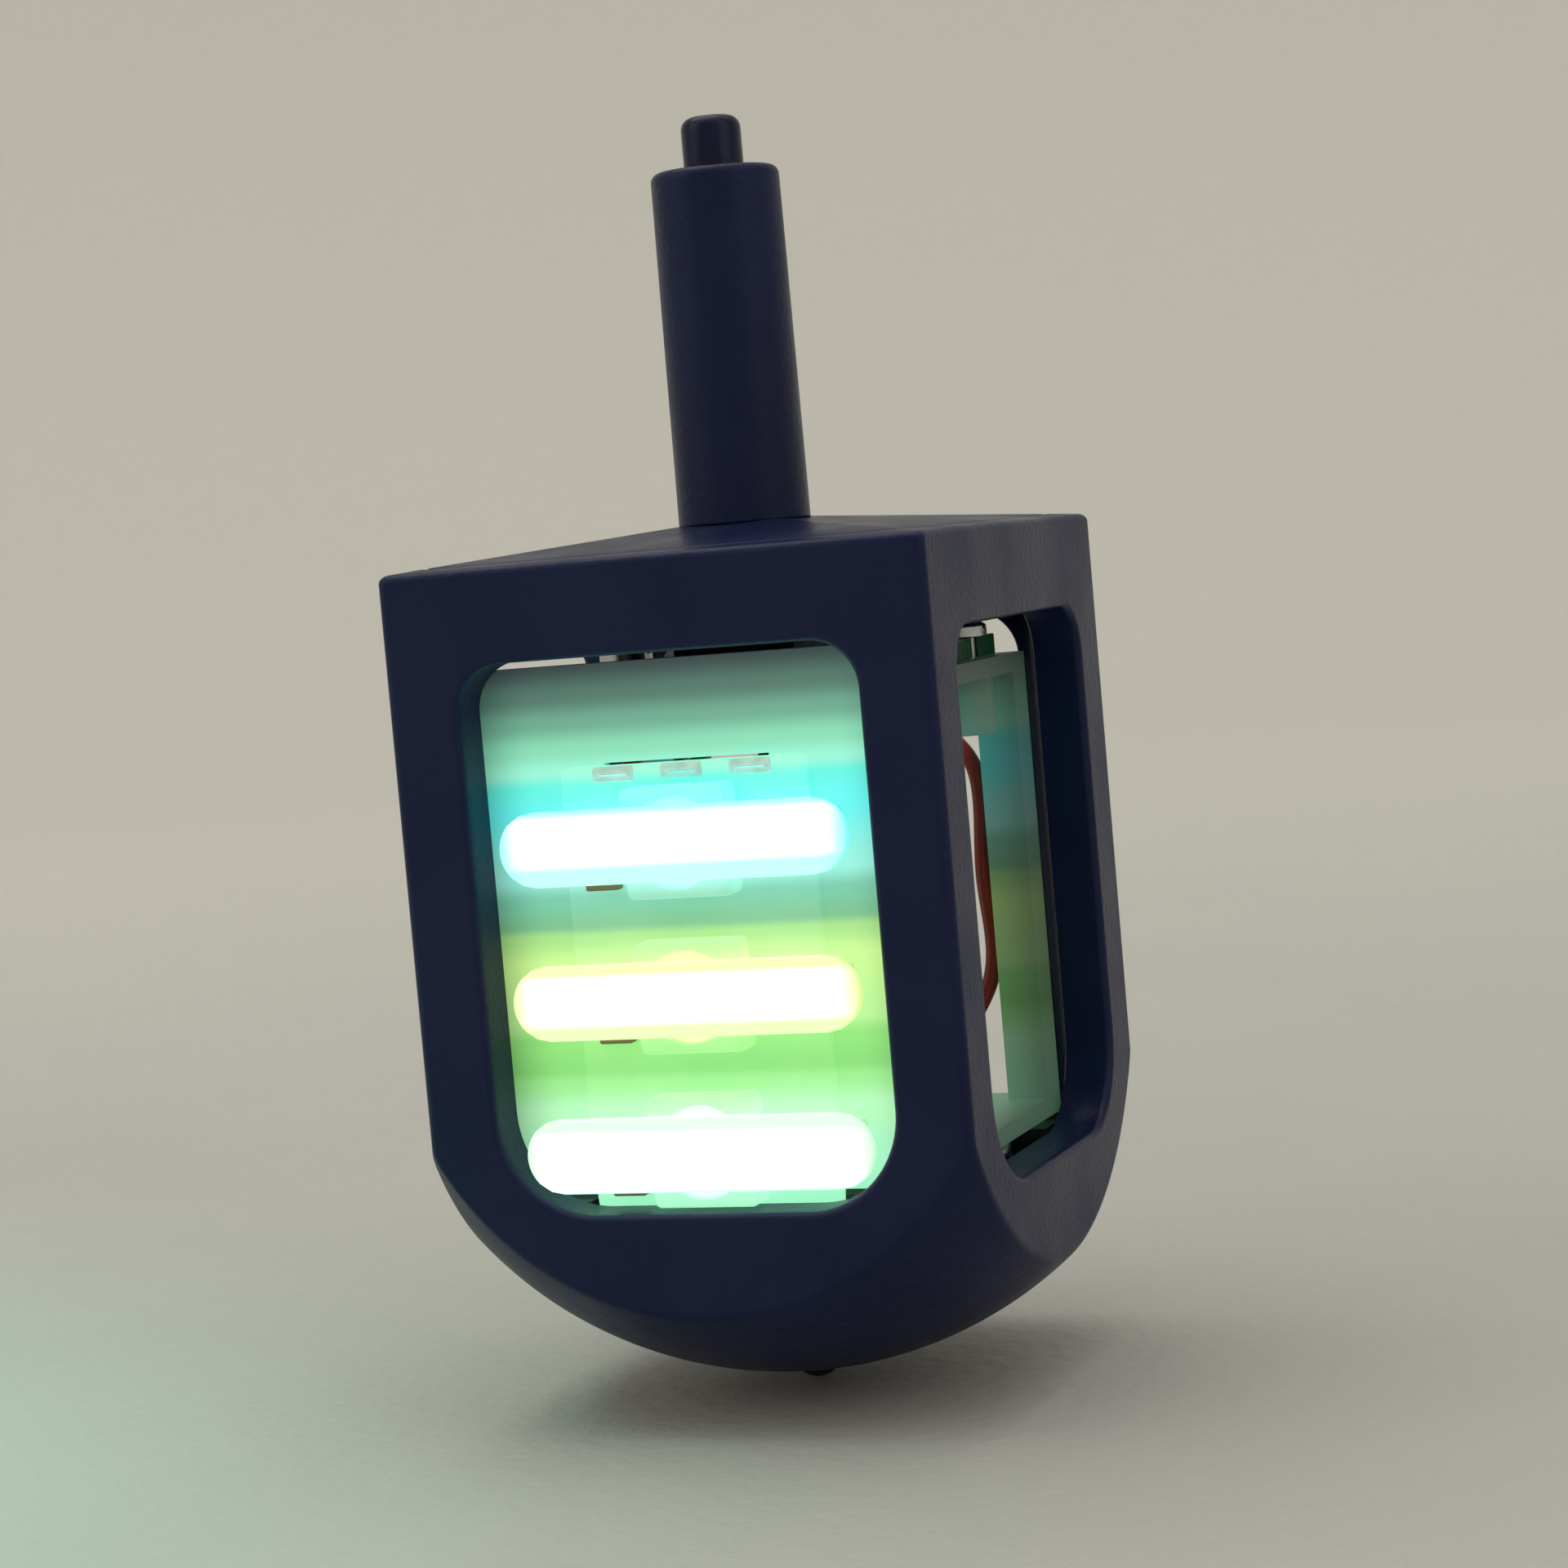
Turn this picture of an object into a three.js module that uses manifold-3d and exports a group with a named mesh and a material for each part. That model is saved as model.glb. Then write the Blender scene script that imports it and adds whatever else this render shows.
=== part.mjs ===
// A light up spinning top: a square, windowed shell on a spherical base, with three lights in a column inside,
// a coin cell in the base, and a push button in the finger stem.
// Millimetres. The origin is the point of the tip, +Z runs up the axis, and the lit window faces -Y.
import * as THREE from "three";
import { mergeVertices } from "three/addons/utils/BufferGeometryUtils.js";
import Module from "manifold-3d";

const wasm = await Module();
wasm.setup();

// ---- Driving dimensions ----

// Shell
const CAVITY_SIDE = 21.2;
const WALL = 2.4;
const TOP_EDGE_HEIGHT = 39.7;
const HIP_HEIGHT = 13.2; // where the upright edges leave the spherical base
const EDGE_RADIUS = 0.5;
const CAVITY_CORNER_RADIUS = 1;
const ROOF_RISE = 1; // from the top edge to the foot of the stem
const WINDOW_BOTTOM = 10.45;
const RAIL_HEIGHT = 4.3;
const WINDOW_LOWER_RADIUS = 4.4;
const WINDOW_UPPER_RADIUS = 2.2;

// Tip
const TIP_DIAMETER = 2.6;
const TIP_PROTRUSION = 0.75;
const TIP_LENGTH = 4.8;
const TIP_BOSS_WALL = 1.2;
const TIP_BOSS_ROOF = 0.5;

// Cover
const COVER_LEDGE = 1; // how far the cover's plate lies on the shell's wall
const COVER_EDGE_THICKNESS = 1.5;
const SKIRT_DEPTH = 2.6;
const SKIRT_WALL = 1.2;

// Stem and button
const STEM_DIAMETER = 6.2;
const STEM_TOP_DIAMETER = 6;
const STEM_LENGTH = 16.5;
const STEM_TOP_RADIUS = 0.4;
const STEM_BORE = 4;
const STEM_CAP_THICKNESS = 1.5;
const SPIGOT_DIAMETER = 5;
const PIN_DIAMETER = 2.8;
const PIN_PROUD = 2.45;
const PIN_FLANGE_THICKNESS = 1;
const ROD_DIAMETER = 2;
const BUTTON_TRAVEL = 1;
const BUSH_LENGTH = 1.5;
const BUSH_HEIGHT = 3; // from the foot of the stem to the foot of the bush
const SPRING_WIRE = 0.4;
const SPRING_TURNS = 8;

// Light column
const LED_COUNT = 3;
const LED_PITCH = 6.94;
const LED_SIZE = 5;
const LED_THICKNESS = 1.6;
const LED_MIDDLE_HEIGHT = 20;
const LENS_DIAMETER = 4.2;
const LENS_DEPTH = 0.9;
const STRIP_WIDTH = 12;
const STRIP_THICKNESS = 0.3;
const STRIP_SETBACK = 0.17; // from the shell's inner wall to the strip's front
const BAR_HEIGHT = 3.4;
const BAR_THICKNESS = 0.85;
const BAR_END_ROUNDING = 0.95; // share of half the bar's height
const BAR_LEG_WIDTH = 1;
const BAR_LEG_HEIGHT = 2.2;
const BAR_END_OVERHANG = 1;
const BAR_SIDE_GAP = 1.2; // from the end of a bar to the side of the window
const PAD_WIDTH = 2;
const PAD_HEIGHT = 0.7;
const PAD_THICKNESS = 0.15;
const PAD_PITCH = 3.3;
const CAPACITOR_SIZE = [1.6, 0.8, 0.6]; // across, up, out of the strip

// Carrier and board
const CARRIER_WALL = 1.2;
const CARRIER_PLATE = 0.9;
const CARRIER_POST = 2;
const CARRIER_REAR = 9;
const CARRIER_TOP_GAP = 0.6; // below the skirt
const FRAME_BAR = 2.9;
const SCREW_DIAMETER = 1.4;
const SCREW_HEAD_DIAMETER = 2.6;
const SCREW_HEAD_HEIGHT = 0.8;
const SCREW_LENGTH = 3.6;
const BOARD_THICKNESS = 1;
const BOARD_MARGIN = 1; // from the carrier's outline to the board's
const SWITCH_SIZE = 6;
const SWITCH_HEIGHT = 3.5;
const PLUNGER_DIAMETER = 3;
const PLUNGER_PROUD = 1.3;
const SWITCH_PIN = [0.8, 1.8, 0.3]; // across, along, high
const CHIP_SIZE = [5, 4, 1.5];
const CHIP_LEG = [0.45, 0.9, 0.3]; // wide, out of the chip, thick
const CHIP_LEG_PITCH = 1.27;
const CHIP_LEGS_PER_SIDE = 4;
const CAPACITOR_ON_BOARD = [2, 1.25, 1.1];
const RESISTOR_ON_BOARD = [1.6, 0.8, 0.45];
const DIODE_ON_BOARD = [2.6, 1.6, 1];
const BOARD_PART_X = 4.6; // from the board's middle line to the capacitor and the resistor
const BOARD_PART_Y = 3.6;
const DIODE_Y = 4.6;
const WIRE_DIAMETER = 0.8;
const BATTERY_WIRE_BEND = 5.5; // height that the wire takes to come over to the post

// Cell and its contacts
const CELL_DIAMETER = 20;
const CELL_THICKNESS = 3.2;
const CELL_RIM = 1.2; // from the cell's side to its cap
const CELL_CAP_HEIGHT = 0.25;
const CELL_BEVEL = 0.3;
const HOLDER_FLOOR = 0.7;
const HOLDER_GAP = 11; // between the lugs that stand round the cell
const CONTACT_THICKNESS = 0.25;
const TAB_HEIGHT = 2.2;
const TAB_WIDTH = 3.2;

// Clearances
const PRESS_GAP = 0.05; // around parts that are pressed or glued in
const SEAT_GAP = 0.02; // between faces that rest on each other
const SLIDE_GAP = 0.1; // around parts that slide by hand
const FREE_GAP = 0.3; // between parts that only lie next to each other

// Fineness of round shapes
const ROUND_STEPS = 32;
const PIN_STEPS = 24;
const SMALL_ROUND_STEPS = 16;
const CELL_STEPS = 48;
const DOME_STEPS_ROUND = 72;
const DOME_STEPS_UP = 18;
const ARC_STEPS = 6;
const WIRE_SIDES = 6;
const WIRE_STEPS = 18;
const SPRING_STEPS_PER_TURN = 12;

// ---- Derived places ----

const cavityHalf = CAVITY_SIDE / 2;
const half = cavityHalf + WALL;
const barLength = STRIP_WIDTH + 2 * (FREE_GAP + BAR_LEG_WIDTH + BAR_END_OVERHANG);
const windowWidth = barLength + 2 * BAR_SIDE_GAP;

// The base is a sphere through its lowest point and the lower ends of the four upright edges.
const cornerReach = half * Math.SQRT2 - EDGE_RADIUS * (Math.SQRT2 - 1);
const domeRise = HIP_HEIGHT - TIP_PROTRUSION;
const domeRadius = (cornerReach ** 2 + domeRise ** 2) / (2 * domeRise);
const domeCentre = TIP_PROTRUSION + domeRadius;
const cavityRadius = domeRadius - WALL;

const stemRadius = STEM_DIAMETER / 2;
const roofSlope = ROOF_RISE / (half - stemRadius);
const roofApex = TOP_EDGE_HEIGHT + half * roofSlope;
const stemFoot = TOP_EDGE_HEIGHT + ROOF_RISE;
const stemTop = stemFoot + STEM_LENGTH;
const coverUnderside = TOP_EDGE_HEIGHT - COVER_EDGE_THICKNESS;
const coverPocketHalf = cavityHalf + COVER_LEDGE;
const skirtFoot = coverUnderside - SKIRT_DEPTH;

const cellRadius = CELL_DIAMETER / 2;
const holderHalf = cavityHalf - SLIDE_GAP;
const negativeTabFront = cellRadius + CONTACT_THICKNESS;
const negativeTabBack = negativeTabFront + CONTACT_THICKNESS;

// The holder lies as deep in the base as the contact's tab, which stands up behind the cell, lets it.
const tabReach = Math.hypot(negativeTabBack, TAB_WIDTH / 2) + SLIDE_GAP;
const negativeLeafFoot = Math.max(
  TIP_LENGTH + TIP_BOSS_ROOF + FREE_GAP + HOLDER_FLOOR,
  domeCentre - Math.sqrt(cavityRadius ** 2 - tabReach ** 2),
);
const holderFoot = negativeLeafFoot - HOLDER_FLOOR;
const cellFoot = negativeLeafFoot + 2 * CONTACT_THICKNESS + SEAT_GAP;
const cellTop = cellFoot + CELL_THICKNESS;
const positiveLeafTop = cellTop + SEAT_GAP + CONTACT_THICKNESS;
const carrierFoot = positiveLeafTop + SEAT_GAP;
const plateTop = carrierFoot + CARRIER_PLATE;

const carrierHalf = cavityHalf - FREE_GAP;
const carrierFront = -(cavityHalf - STRIP_THICKNESS - STRIP_SETBACK);
const carrierTop = skirtFoot - CARRIER_TOP_GAP;
const boardTop = coverUnderside - FREE_GAP - SWITCH_HEIGHT;
const boardFoot = boardTop - BOARD_THICKNESS;
const frameFoot = boardFoot - CARRIER_PLATE;
const plungerTop = boardTop + SWITCH_HEIGHT + PLUNGER_PROUD;

const stripFront = carrierFront - STRIP_THICKNESS;
const ledFront = stripFront - LED_THICKNESS;
const stripTop = LED_MIDDLE_HEIGHT + (LED_COUNT * LED_PITCH) / 2;
const stripFoot = LED_MIDDLE_HEIGHT - (LED_COUNT * LED_PITCH) / 2;
const padHeight = stripTop - PAD_HEIGHT / 2 - PRESS_GAP;

const bushFoot = stemFoot + BUSH_HEIGHT;
const bushTop = bushFoot + BUSH_LENGTH;
const flangeTop = stemTop - STEM_CAP_THICKNESS - SLIDE_GAP;
const flangeFoot = flangeTop - PIN_FLANGE_THICKNESS;
const flangeDiameter = STEM_BORE - 3 * SLIDE_GAP;

// ---- Shapes ----

const MERGE_DISTANCE = 1e-4;

// A closed three.js geometry as a solid that can be joined and cut.
function solid(geometry) {
  const plain = geometry.clone();
  plain.deleteAttribute("normal");
  plain.deleteAttribute("uv");
  const merged = mergeVertices(plain, MERGE_DISTANCE);
  const corners = merged.index.array;
  const faces = [];
  for (let i = 0; i < corners.length; i += 3) {
    const [a, b, c] = [corners[i], corners[i + 1], corners[i + 2]];
    if (a !== b && b !== c && c !== a) {
      faces.push(a, b, c);
    }
  }
  return new wasm.Manifold(
    new wasm.Mesh({
      numProp: 3,
      vertProperties: merged.attributes.position.array,
      triVerts: new Uint32Array(faces),
    }),
  );
}

// A solid's surface as a three.js geometry.
function geometryOf(shape) {
  const surface = shape.getMesh();
  const stride = surface.numProp;
  const positions = new Float32Array((surface.vertProperties.length / stride) * 3);
  for (let i = 0; i < positions.length / 3; i += 1) {
    positions.set(surface.vertProperties.subarray(i * stride, i * stride + 3), i * 3);
  }
  const geometry = new THREE.BufferGeometry();
  geometry.setAttribute("position", new THREE.BufferAttribute(positions, 3));
  geometry.setIndex(new THREE.BufferAttribute(surface.triVerts, 1));
  return geometry;
}

function union(shapes) {
  return shapes.reduce((sum, shape) => sum.add(shape));
}

// A box between two corners.
function block([x0, y0, z0], [x1, y1, z1]) {
  const geometry = new THREE.BoxGeometry(x1 - x0, y1 - y0, z1 - z0);
  return solid(geometry.translate((x0 + x1) / 2, (y0 + y1) / 2, (z0 + z1) / 2));
}

// A profile of [radius, height] points turned about the Z axis, listed from the bottom up.
function turned(profile, steps = ROUND_STEPS) {
  const points = profile.map(([radius, height]) => new THREE.Vector2(radius, height));
  return solid(new THREE.LatheGeometry(points, steps).rotateX(Math.PI / 2));
}

function cylinder(diameter, foot, top, steps = ROUND_STEPS) {
  const radius = diameter / 2;
  return turned([[0, foot], [radius, foot], [radius, top], [0, top]], steps);
}

// Points along a quarter circle of [radius, height], from one angle to another in degrees, 0 being outwards.
function arcPoints(centreRadius, centreHeight, radius, from, to, steps) {
  return Array.from({ length: steps + 1 }, (_, i) => {
    const angle = THREE.MathUtils.degToRad(from + ((to - from) * i) / steps);
    return [
      Math.max(0, centreRadius + radius * Math.cos(angle)),
      centreHeight + radius * Math.sin(angle),
    ];
  });
}

// A rectangle with round corners, with one radius for the upper pair and one for the lower pair.
function roundedRectangle(left, right, bottom, top, lowerRadius, upperRadius = lowerRadius) {
  const outline = new THREE.Shape();
  outline.moveTo(left + lowerRadius, bottom);
  outline.lineTo(right - lowerRadius, bottom);
  outline.absarc(right - lowerRadius, bottom + lowerRadius, lowerRadius, -Math.PI / 2, 0);
  outline.lineTo(right, top - upperRadius);
  outline.absarc(right - upperRadius, top - upperRadius, upperRadius, 0, Math.PI / 2);
  outline.lineTo(left + upperRadius, top);
  outline.absarc(left + upperRadius, top - upperRadius, upperRadius, Math.PI / 2, Math.PI);
  outline.lineTo(left, bottom + lowerRadius);
  outline.absarc(left + lowerRadius, bottom + lowerRadius, lowerRadius, Math.PI, 1.5 * Math.PI);
  return outline;
}

// An outline drawn in X and Y, raised between two heights.
function raised(outline, foot, top) {
  const geometry = new THREE.ExtrudeGeometry(outline, {
    depth: top - foot,
    bevelEnabled: false,
    curveSegments: ARC_STEPS,
  });
  return solid(geometry.translate(0, 0, foot));
}

// An outline drawn in X and Z, carried from one Y to another further forward.
function carriedForward(outline, back, front) {
  const geometry = new THREE.ExtrudeGeometry(outline, {
    depth: back - front,
    bevelEnabled: false,
    curveSegments: ARC_STEPS,
  });
  return solid(geometry.rotateX(Math.PI / 2).translate(0, back, 0));
}

function squareColumn(halfWidth, cornerRadius, foot, top) {
  const outline = roundedRectangle(-halfWidth, halfWidth, -halfWidth, halfWidth, cornerRadius);
  return raised(outline, foot, top);
}

// Everything inside a half sphere that opens upwards, and inside the cylinder that stands on its rim.
function inBowl(radius, top) {
  const bowl = arcPoints(0, domeCentre, radius, -90, 0, DOME_STEPS_UP);
  return turned([...bowl, [radius, top], [0, top]], DOME_STEPS_ROUND);
}

// Everything under the shallow pyramid roof, down to a given height.
function underRoof(foot) {
  const rise = roofApex - TOP_EDGE_HEIGHT;
  const pyramid = new THREE.CylinderGeometry(0, half * Math.SQRT2, rise, 4);
  pyramid.rotateY(Math.PI / 4).rotateX(Math.PI / 2).translate(0, 0, TOP_EDGE_HEIGHT + rise / 2);
  return solid(pyramid).add(block([-half, -half, foot], [half, half, TOP_EDGE_HEIGHT]));
}

// A round wire along a smooth curve through the points.
function wireAlong(points, diameter, steps = WIRE_STEPS) {
  const section = new THREE.Shape();
  section.absarc(0, 0, diameter / 2, 0, 2 * Math.PI);
  const path = new THREE.CatmullRomCurve3(points.map((point) => new THREE.Vector3(...point)));
  const geometry = new THREE.ExtrudeGeometry(section, {
    steps,
    extrudePath: path,
    curveSegments: WIRE_SIDES / 2,
  });
  return solid(geometry);
}

// ---- Materials ----

const plastic = (color, roughness) => new THREE.MeshStandardMaterial({ color, roughness });
const metal = (color, roughness) => new THREE.MeshStandardMaterial({ color, roughness, metalness: 1 });

const navyPlastic = plastic(0x1a1e32, 0.5);
const blackPlastic = plastic(0x0c0c0e, 0.4);
const whitePlastic = plastic(0xe6ece8, 0.55);
const ledWhite = plastic(0xf4f4f0, 0.35);
const stripWhite = plastic(0xe9efec, 0.45);
const boardGreen = plastic(0x14532d, 0.4);
const ceramic = plastic(0x8a6a45, 0.6);
const redInsulation = plastic(0xb3201c, 0.45);
const blackInsulation = plastic(0x141416, 0.45);
const greenInsulation = plastic(0x1f8a4c, 0.45);
const springSteel = metal(0xb9bcc2, 0.3);
const cellSteel = metal(0xd4d6da, 0.22);
const contactNickel = metal(0xc9c4b8, 0.3);
const solderTin = metal(0xcfd2d6, 0.35);
const litResin = (color) => new THREE.MeshStandardMaterial({ color, emissive: color, roughness: 0.3 });

const LIGHTS = [
  { name: "top", color: 0x9dfff0 },
  { name: "middle", color: 0xd8ff7a },
  { name: "bottom", color: 0x8affc8 },
];

const top = new THREE.Group();

function addPiece(name, shape, material) {
  const mesh = new THREE.Mesh(geometryOf(shape), material);
  mesh.name = name;
  top.add(mesh);
}

// ---- Shell and tip ----

function bodyShell() {
  const outline = squareColumn(half, EDGE_RADIUS, 0, roofApex);
  const outside = outline.intersect(underRoof(0)).intersect(inBowl(domeRadius, roofApex));
  const cavity = squareColumn(cavityHalf, CAVITY_CORNER_RADIUS, 0, roofApex);
  const coverPocket = squareColumn(coverPocketHalf, CAVITY_CORNER_RADIUS, coverUnderside, roofApex);
  const window = roundedRectangle(
    -windowWidth / 2,
    windowWidth / 2,
    WINDOW_BOTTOM,
    TOP_EDGE_HEIGHT - RAIL_HEIGHT,
    WINDOW_LOWER_RADIUS,
    WINDOW_UPPER_RADIUS,
  );
  const frontAndBack = carriedForward(window, 2 * half, -2 * half);
  const sides = frontAndBack.rotate([0, 0, 90]);
  const boss = cylinder(TIP_DIAMETER + 2 * TIP_BOSS_WALL, WALL / 2, TIP_LENGTH + TIP_BOSS_ROOF);
  const tipHole = cylinder(TIP_DIAMETER + 2 * PRESS_GAP, -TIP_PROTRUSION, TIP_LENGTH + SEAT_GAP);
  return outside
    .subtract(cavity.intersect(inBowl(cavityRadius, roofApex)))
    .subtract(coverPocket)
    .subtract(frontAndBack)
    .subtract(sides)
    .add(boss.intersect(inBowl(domeRadius, roofApex)))
    .subtract(tipHole);
}

function pivotTip() {
  const radius = TIP_DIAMETER / 2;
  const nose = arcPoints(0, radius, radius, -90, 0, ARC_STEPS);
  return turned([...nose, [radius, TIP_LENGTH], [0, TIP_LENGTH]], ROUND_STEPS);
}

addPiece("body_shell", bodyShell(), navyPlastic);
addPiece("pivot_tip", pivotTip(), blackPlastic);

// ---- Cover ----

function topCover() {
  const plateHalf = coverPocketHalf - SLIDE_GAP;
  const skirtHalf = cavityHalf - SLIDE_GAP;
  const plateFoot = coverUnderside + SEAT_GAP;
  const plate = squareColumn(plateHalf, CAVITY_CORNER_RADIUS, plateFoot, roofApex);
  const skirt = squareColumn(skirtHalf, CAVITY_CORNER_RADIUS, skirtFoot, plateFoot + SEAT_GAP);
  const hollow = squareColumn(skirtHalf - SKIRT_WALL, CAVITY_CORNER_RADIUS, skirtFoot - WALL, plateFoot);
  const stemHole = cylinder(SPIGOT_DIAMETER + 2 * PRESS_GAP, skirtFoot, roofApex + ROOF_RISE);
  const stemSeat = cylinder(STEM_DIAMETER + 2 * PRESS_GAP, stemFoot - SEAT_GAP, roofApex + ROOF_RISE);
  return plate
    .intersect(underRoof(plateFoot - WALL))
    .add(skirt)
    .subtract(hollow)
    .subtract(stemHole)
    .subtract(stemSeat);
}

addPiece("top_cover", topCover(), navyPlastic);

// ---- Stem, button and spring ----

function fingerStem() {
  const topRadius = STEM_TOP_DIAMETER / 2;
  const rim = arcPoints(
    topRadius - STEM_TOP_RADIUS,
    stemTop - STEM_TOP_RADIUS,
    STEM_TOP_RADIUS,
    0,
    90,
    ARC_STEPS / 2,
  );
  const outside = turned([
    [0, coverUnderside],
    [SPIGOT_DIAMETER / 2, coverUnderside],
    [SPIGOT_DIAMETER / 2, stemFoot],
    [stemRadius, stemFoot],
    ...rim,
    [0, stemTop],
  ]);
  const bore = cylinder(STEM_BORE, coverUnderside - WALL, stemTop - STEM_CAP_THICKNESS);
  const pinHole = cylinder(PIN_DIAMETER + 2 * SLIDE_GAP, coverUnderside, stemTop + PIN_PROUD);
  return outside.subtract(bore).subtract(pinHole);
}

function buttonPin() {
  const radius = PIN_DIAMETER / 2;
  const pinTop = stemTop + PIN_PROUD;
  const dome = arcPoints(0, pinTop - radius, radius, 0, 90, ARC_STEPS);
  return turned([
    [0, plungerTop + SEAT_GAP],
    [ROD_DIAMETER / 2, plungerTop + SEAT_GAP],
    [ROD_DIAMETER / 2, flangeFoot],
    [flangeDiameter / 2, flangeFoot],
    [flangeDiameter / 2, flangeTop],
    [radius, flangeTop],
    ...dome,
  ], PIN_STEPS);
}

function stemBush() {
  const ring = cylinder(STEM_BORE - 2 * PRESS_GAP, bushFoot, bushTop, PIN_STEPS);
  return ring.subtract(cylinder(ROD_DIAMETER + 2 * SLIDE_GAP, bushFoot - WALL, bushTop + WALL));
}

class Helix extends THREE.Curve {
  constructor(radius, foot, top, turns) {
    super();
    Object.assign(this, { radius, foot, top, turns });
  }

  getPoint(t, target = new THREE.Vector3()) {
    const angle = 2 * Math.PI * this.turns * t;
    const height = THREE.MathUtils.lerp(this.foot, this.top, t);
    return target.set(this.radius * Math.cos(angle), this.radius * Math.sin(angle), height);
  }
}

function buttonSpring() {
  const section = new THREE.Shape();
  section.absarc(0, 0, SPRING_WIRE / 2, 0, 2 * Math.PI);
  const reach = (STEM_BORE - SPRING_WIRE) / 2 - 2 * SLIDE_GAP;
  const foot = bushTop + SPRING_WIRE / 2 + PRESS_GAP;
  const end = flangeFoot - SPRING_WIRE / 2 - PRESS_GAP;
  const geometry = new THREE.ExtrudeGeometry(section, {
    steps: SPRING_TURNS * SPRING_STEPS_PER_TURN,
    extrudePath: new Helix(reach, foot, end, SPRING_TURNS),
    curveSegments: WIRE_SIDES / 2,
  });
  return solid(geometry);
}

addPiece("stem", fingerStem(), navyPlastic);
addPiece("button_pin", buttonPin(), navyPlastic);
addPiece("stem_bush", stemBush(), blackPlastic);
addPiece("button_spring", buttonSpring(), springSteel);

// ---- Cell, holder and contacts ----

function batteryHolder() {
  const lugTop = cellTop - SEAT_GAP;
  const blank = squareColumn(holderHalf, CAVITY_CORNER_RADIUS, holderFoot, lugTop);
  const fitted = blank.intersect(inBowl(cavityRadius - SLIDE_GAP, lugTop));
  const pocket = cylinder(CELL_DIAMETER + 2 * SLIDE_GAP, negativeLeafFoot, lugTop + WALL, DOME_STEPS_ROUND);
  const gapHalf = HOLDER_GAP / 2;
  const acrossX = block([-half, -gapHalf, negativeLeafFoot], [half, gapHalf, lugTop + WALL]);
  const stripNotch = block(
    [-STRIP_WIDTH / 2 - FREE_GAP, -half, negativeLeafFoot],
    [STRIP_WIDTH / 2 + FREE_GAP, carrierFront + FREE_GAP, lugTop + WALL],
  );
  return fitted.subtract(union([pocket, acrossX, acrossX.rotate([0, 0, 90]), stripNotch]));
}

function coinCell() {
  const capRadius = cellRadius - CELL_RIM;
  return turned([
    [0, cellFoot],
    [capRadius, cellFoot],
    [capRadius, cellFoot + CELL_CAP_HEIGHT],
    [cellRadius - CELL_BEVEL, cellFoot + CELL_CAP_HEIGHT],
    [cellRadius, cellFoot + CELL_CAP_HEIGHT + CELL_BEVEL],
    [cellRadius, cellTop - CELL_BEVEL],
    [cellRadius - CELL_BEVEL, cellTop],
    [0, cellTop],
  ], CELL_STEPS);
}

// A leaf on the holder's floor with a raised button under the cell, and a tab that stands up behind the cell.
function negativeContact() {
  const leafTop = negativeLeafFoot + CONTACT_THICKNESS;
  const foot = negativeLeafFoot + SEAT_GAP;
  const tabTop = plateTop + TAB_HEIGHT;
  return union([
    block([-TAB_WIDTH / 2, -cellRadius / 2, foot], [TAB_WIDTH / 2, negativeTabBack, leafTop]),
    cylinder(TAB_WIDTH, foot, cellFoot - SEAT_GAP, SMALL_ROUND_STEPS),
    block([-TAB_WIDTH / 2, negativeTabFront, foot], [TAB_WIDTH / 2, negativeTabBack, tabTop]),
  ]);
}

const positiveTabX = TAB_WIDTH * 1.5;
const positiveTabY = cellRadius * 0.7;

// A leaf on top of the cell, with a tab that stands up through the carrier's floor.
function positiveContact() {
  const leafFoot = cellTop + SEAT_GAP;
  const tabBack = positiveTabY + CONTACT_THICKNESS;
  return union([
    block(
      [-TAB_WIDTH / 2, -cellRadius / 2, leafFoot],
      [positiveTabX + TAB_WIDTH / 2, tabBack, positiveLeafTop],
    ),
    block(
      [positiveTabX - TAB_WIDTH / 2, positiveTabY, leafFoot],
      [positiveTabX + TAB_WIDTH / 2, tabBack, plateTop + TAB_HEIGHT],
    ),
  ]);
}

addPiece("battery_holder", batteryHolder(), blackPlastic);
addPiece("coin_cell", coinCell(), cellSteel);
addPiece("cell_contact_negative", negativeContact(), contactNickel);
addPiece("cell_contact_positive", positiveContact(), contactNickel);

// ---- Carrier ----

const screwX = carrierHalf - FRAME_BAR + SCREW_HEAD_DIAMETER / 2 - SLIDE_GAP;
const screwY = CARRIER_REAR * 0.5;
const wireSlotFoot = padHeight - WIRE_DIAMETER;
const wireSlotTop = padHeight + WIRE_DIAMETER / 2 + SLIDE_GAP;
const wireSlotHalf = PAD_PITCH + WIRE_DIAMETER;

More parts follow.
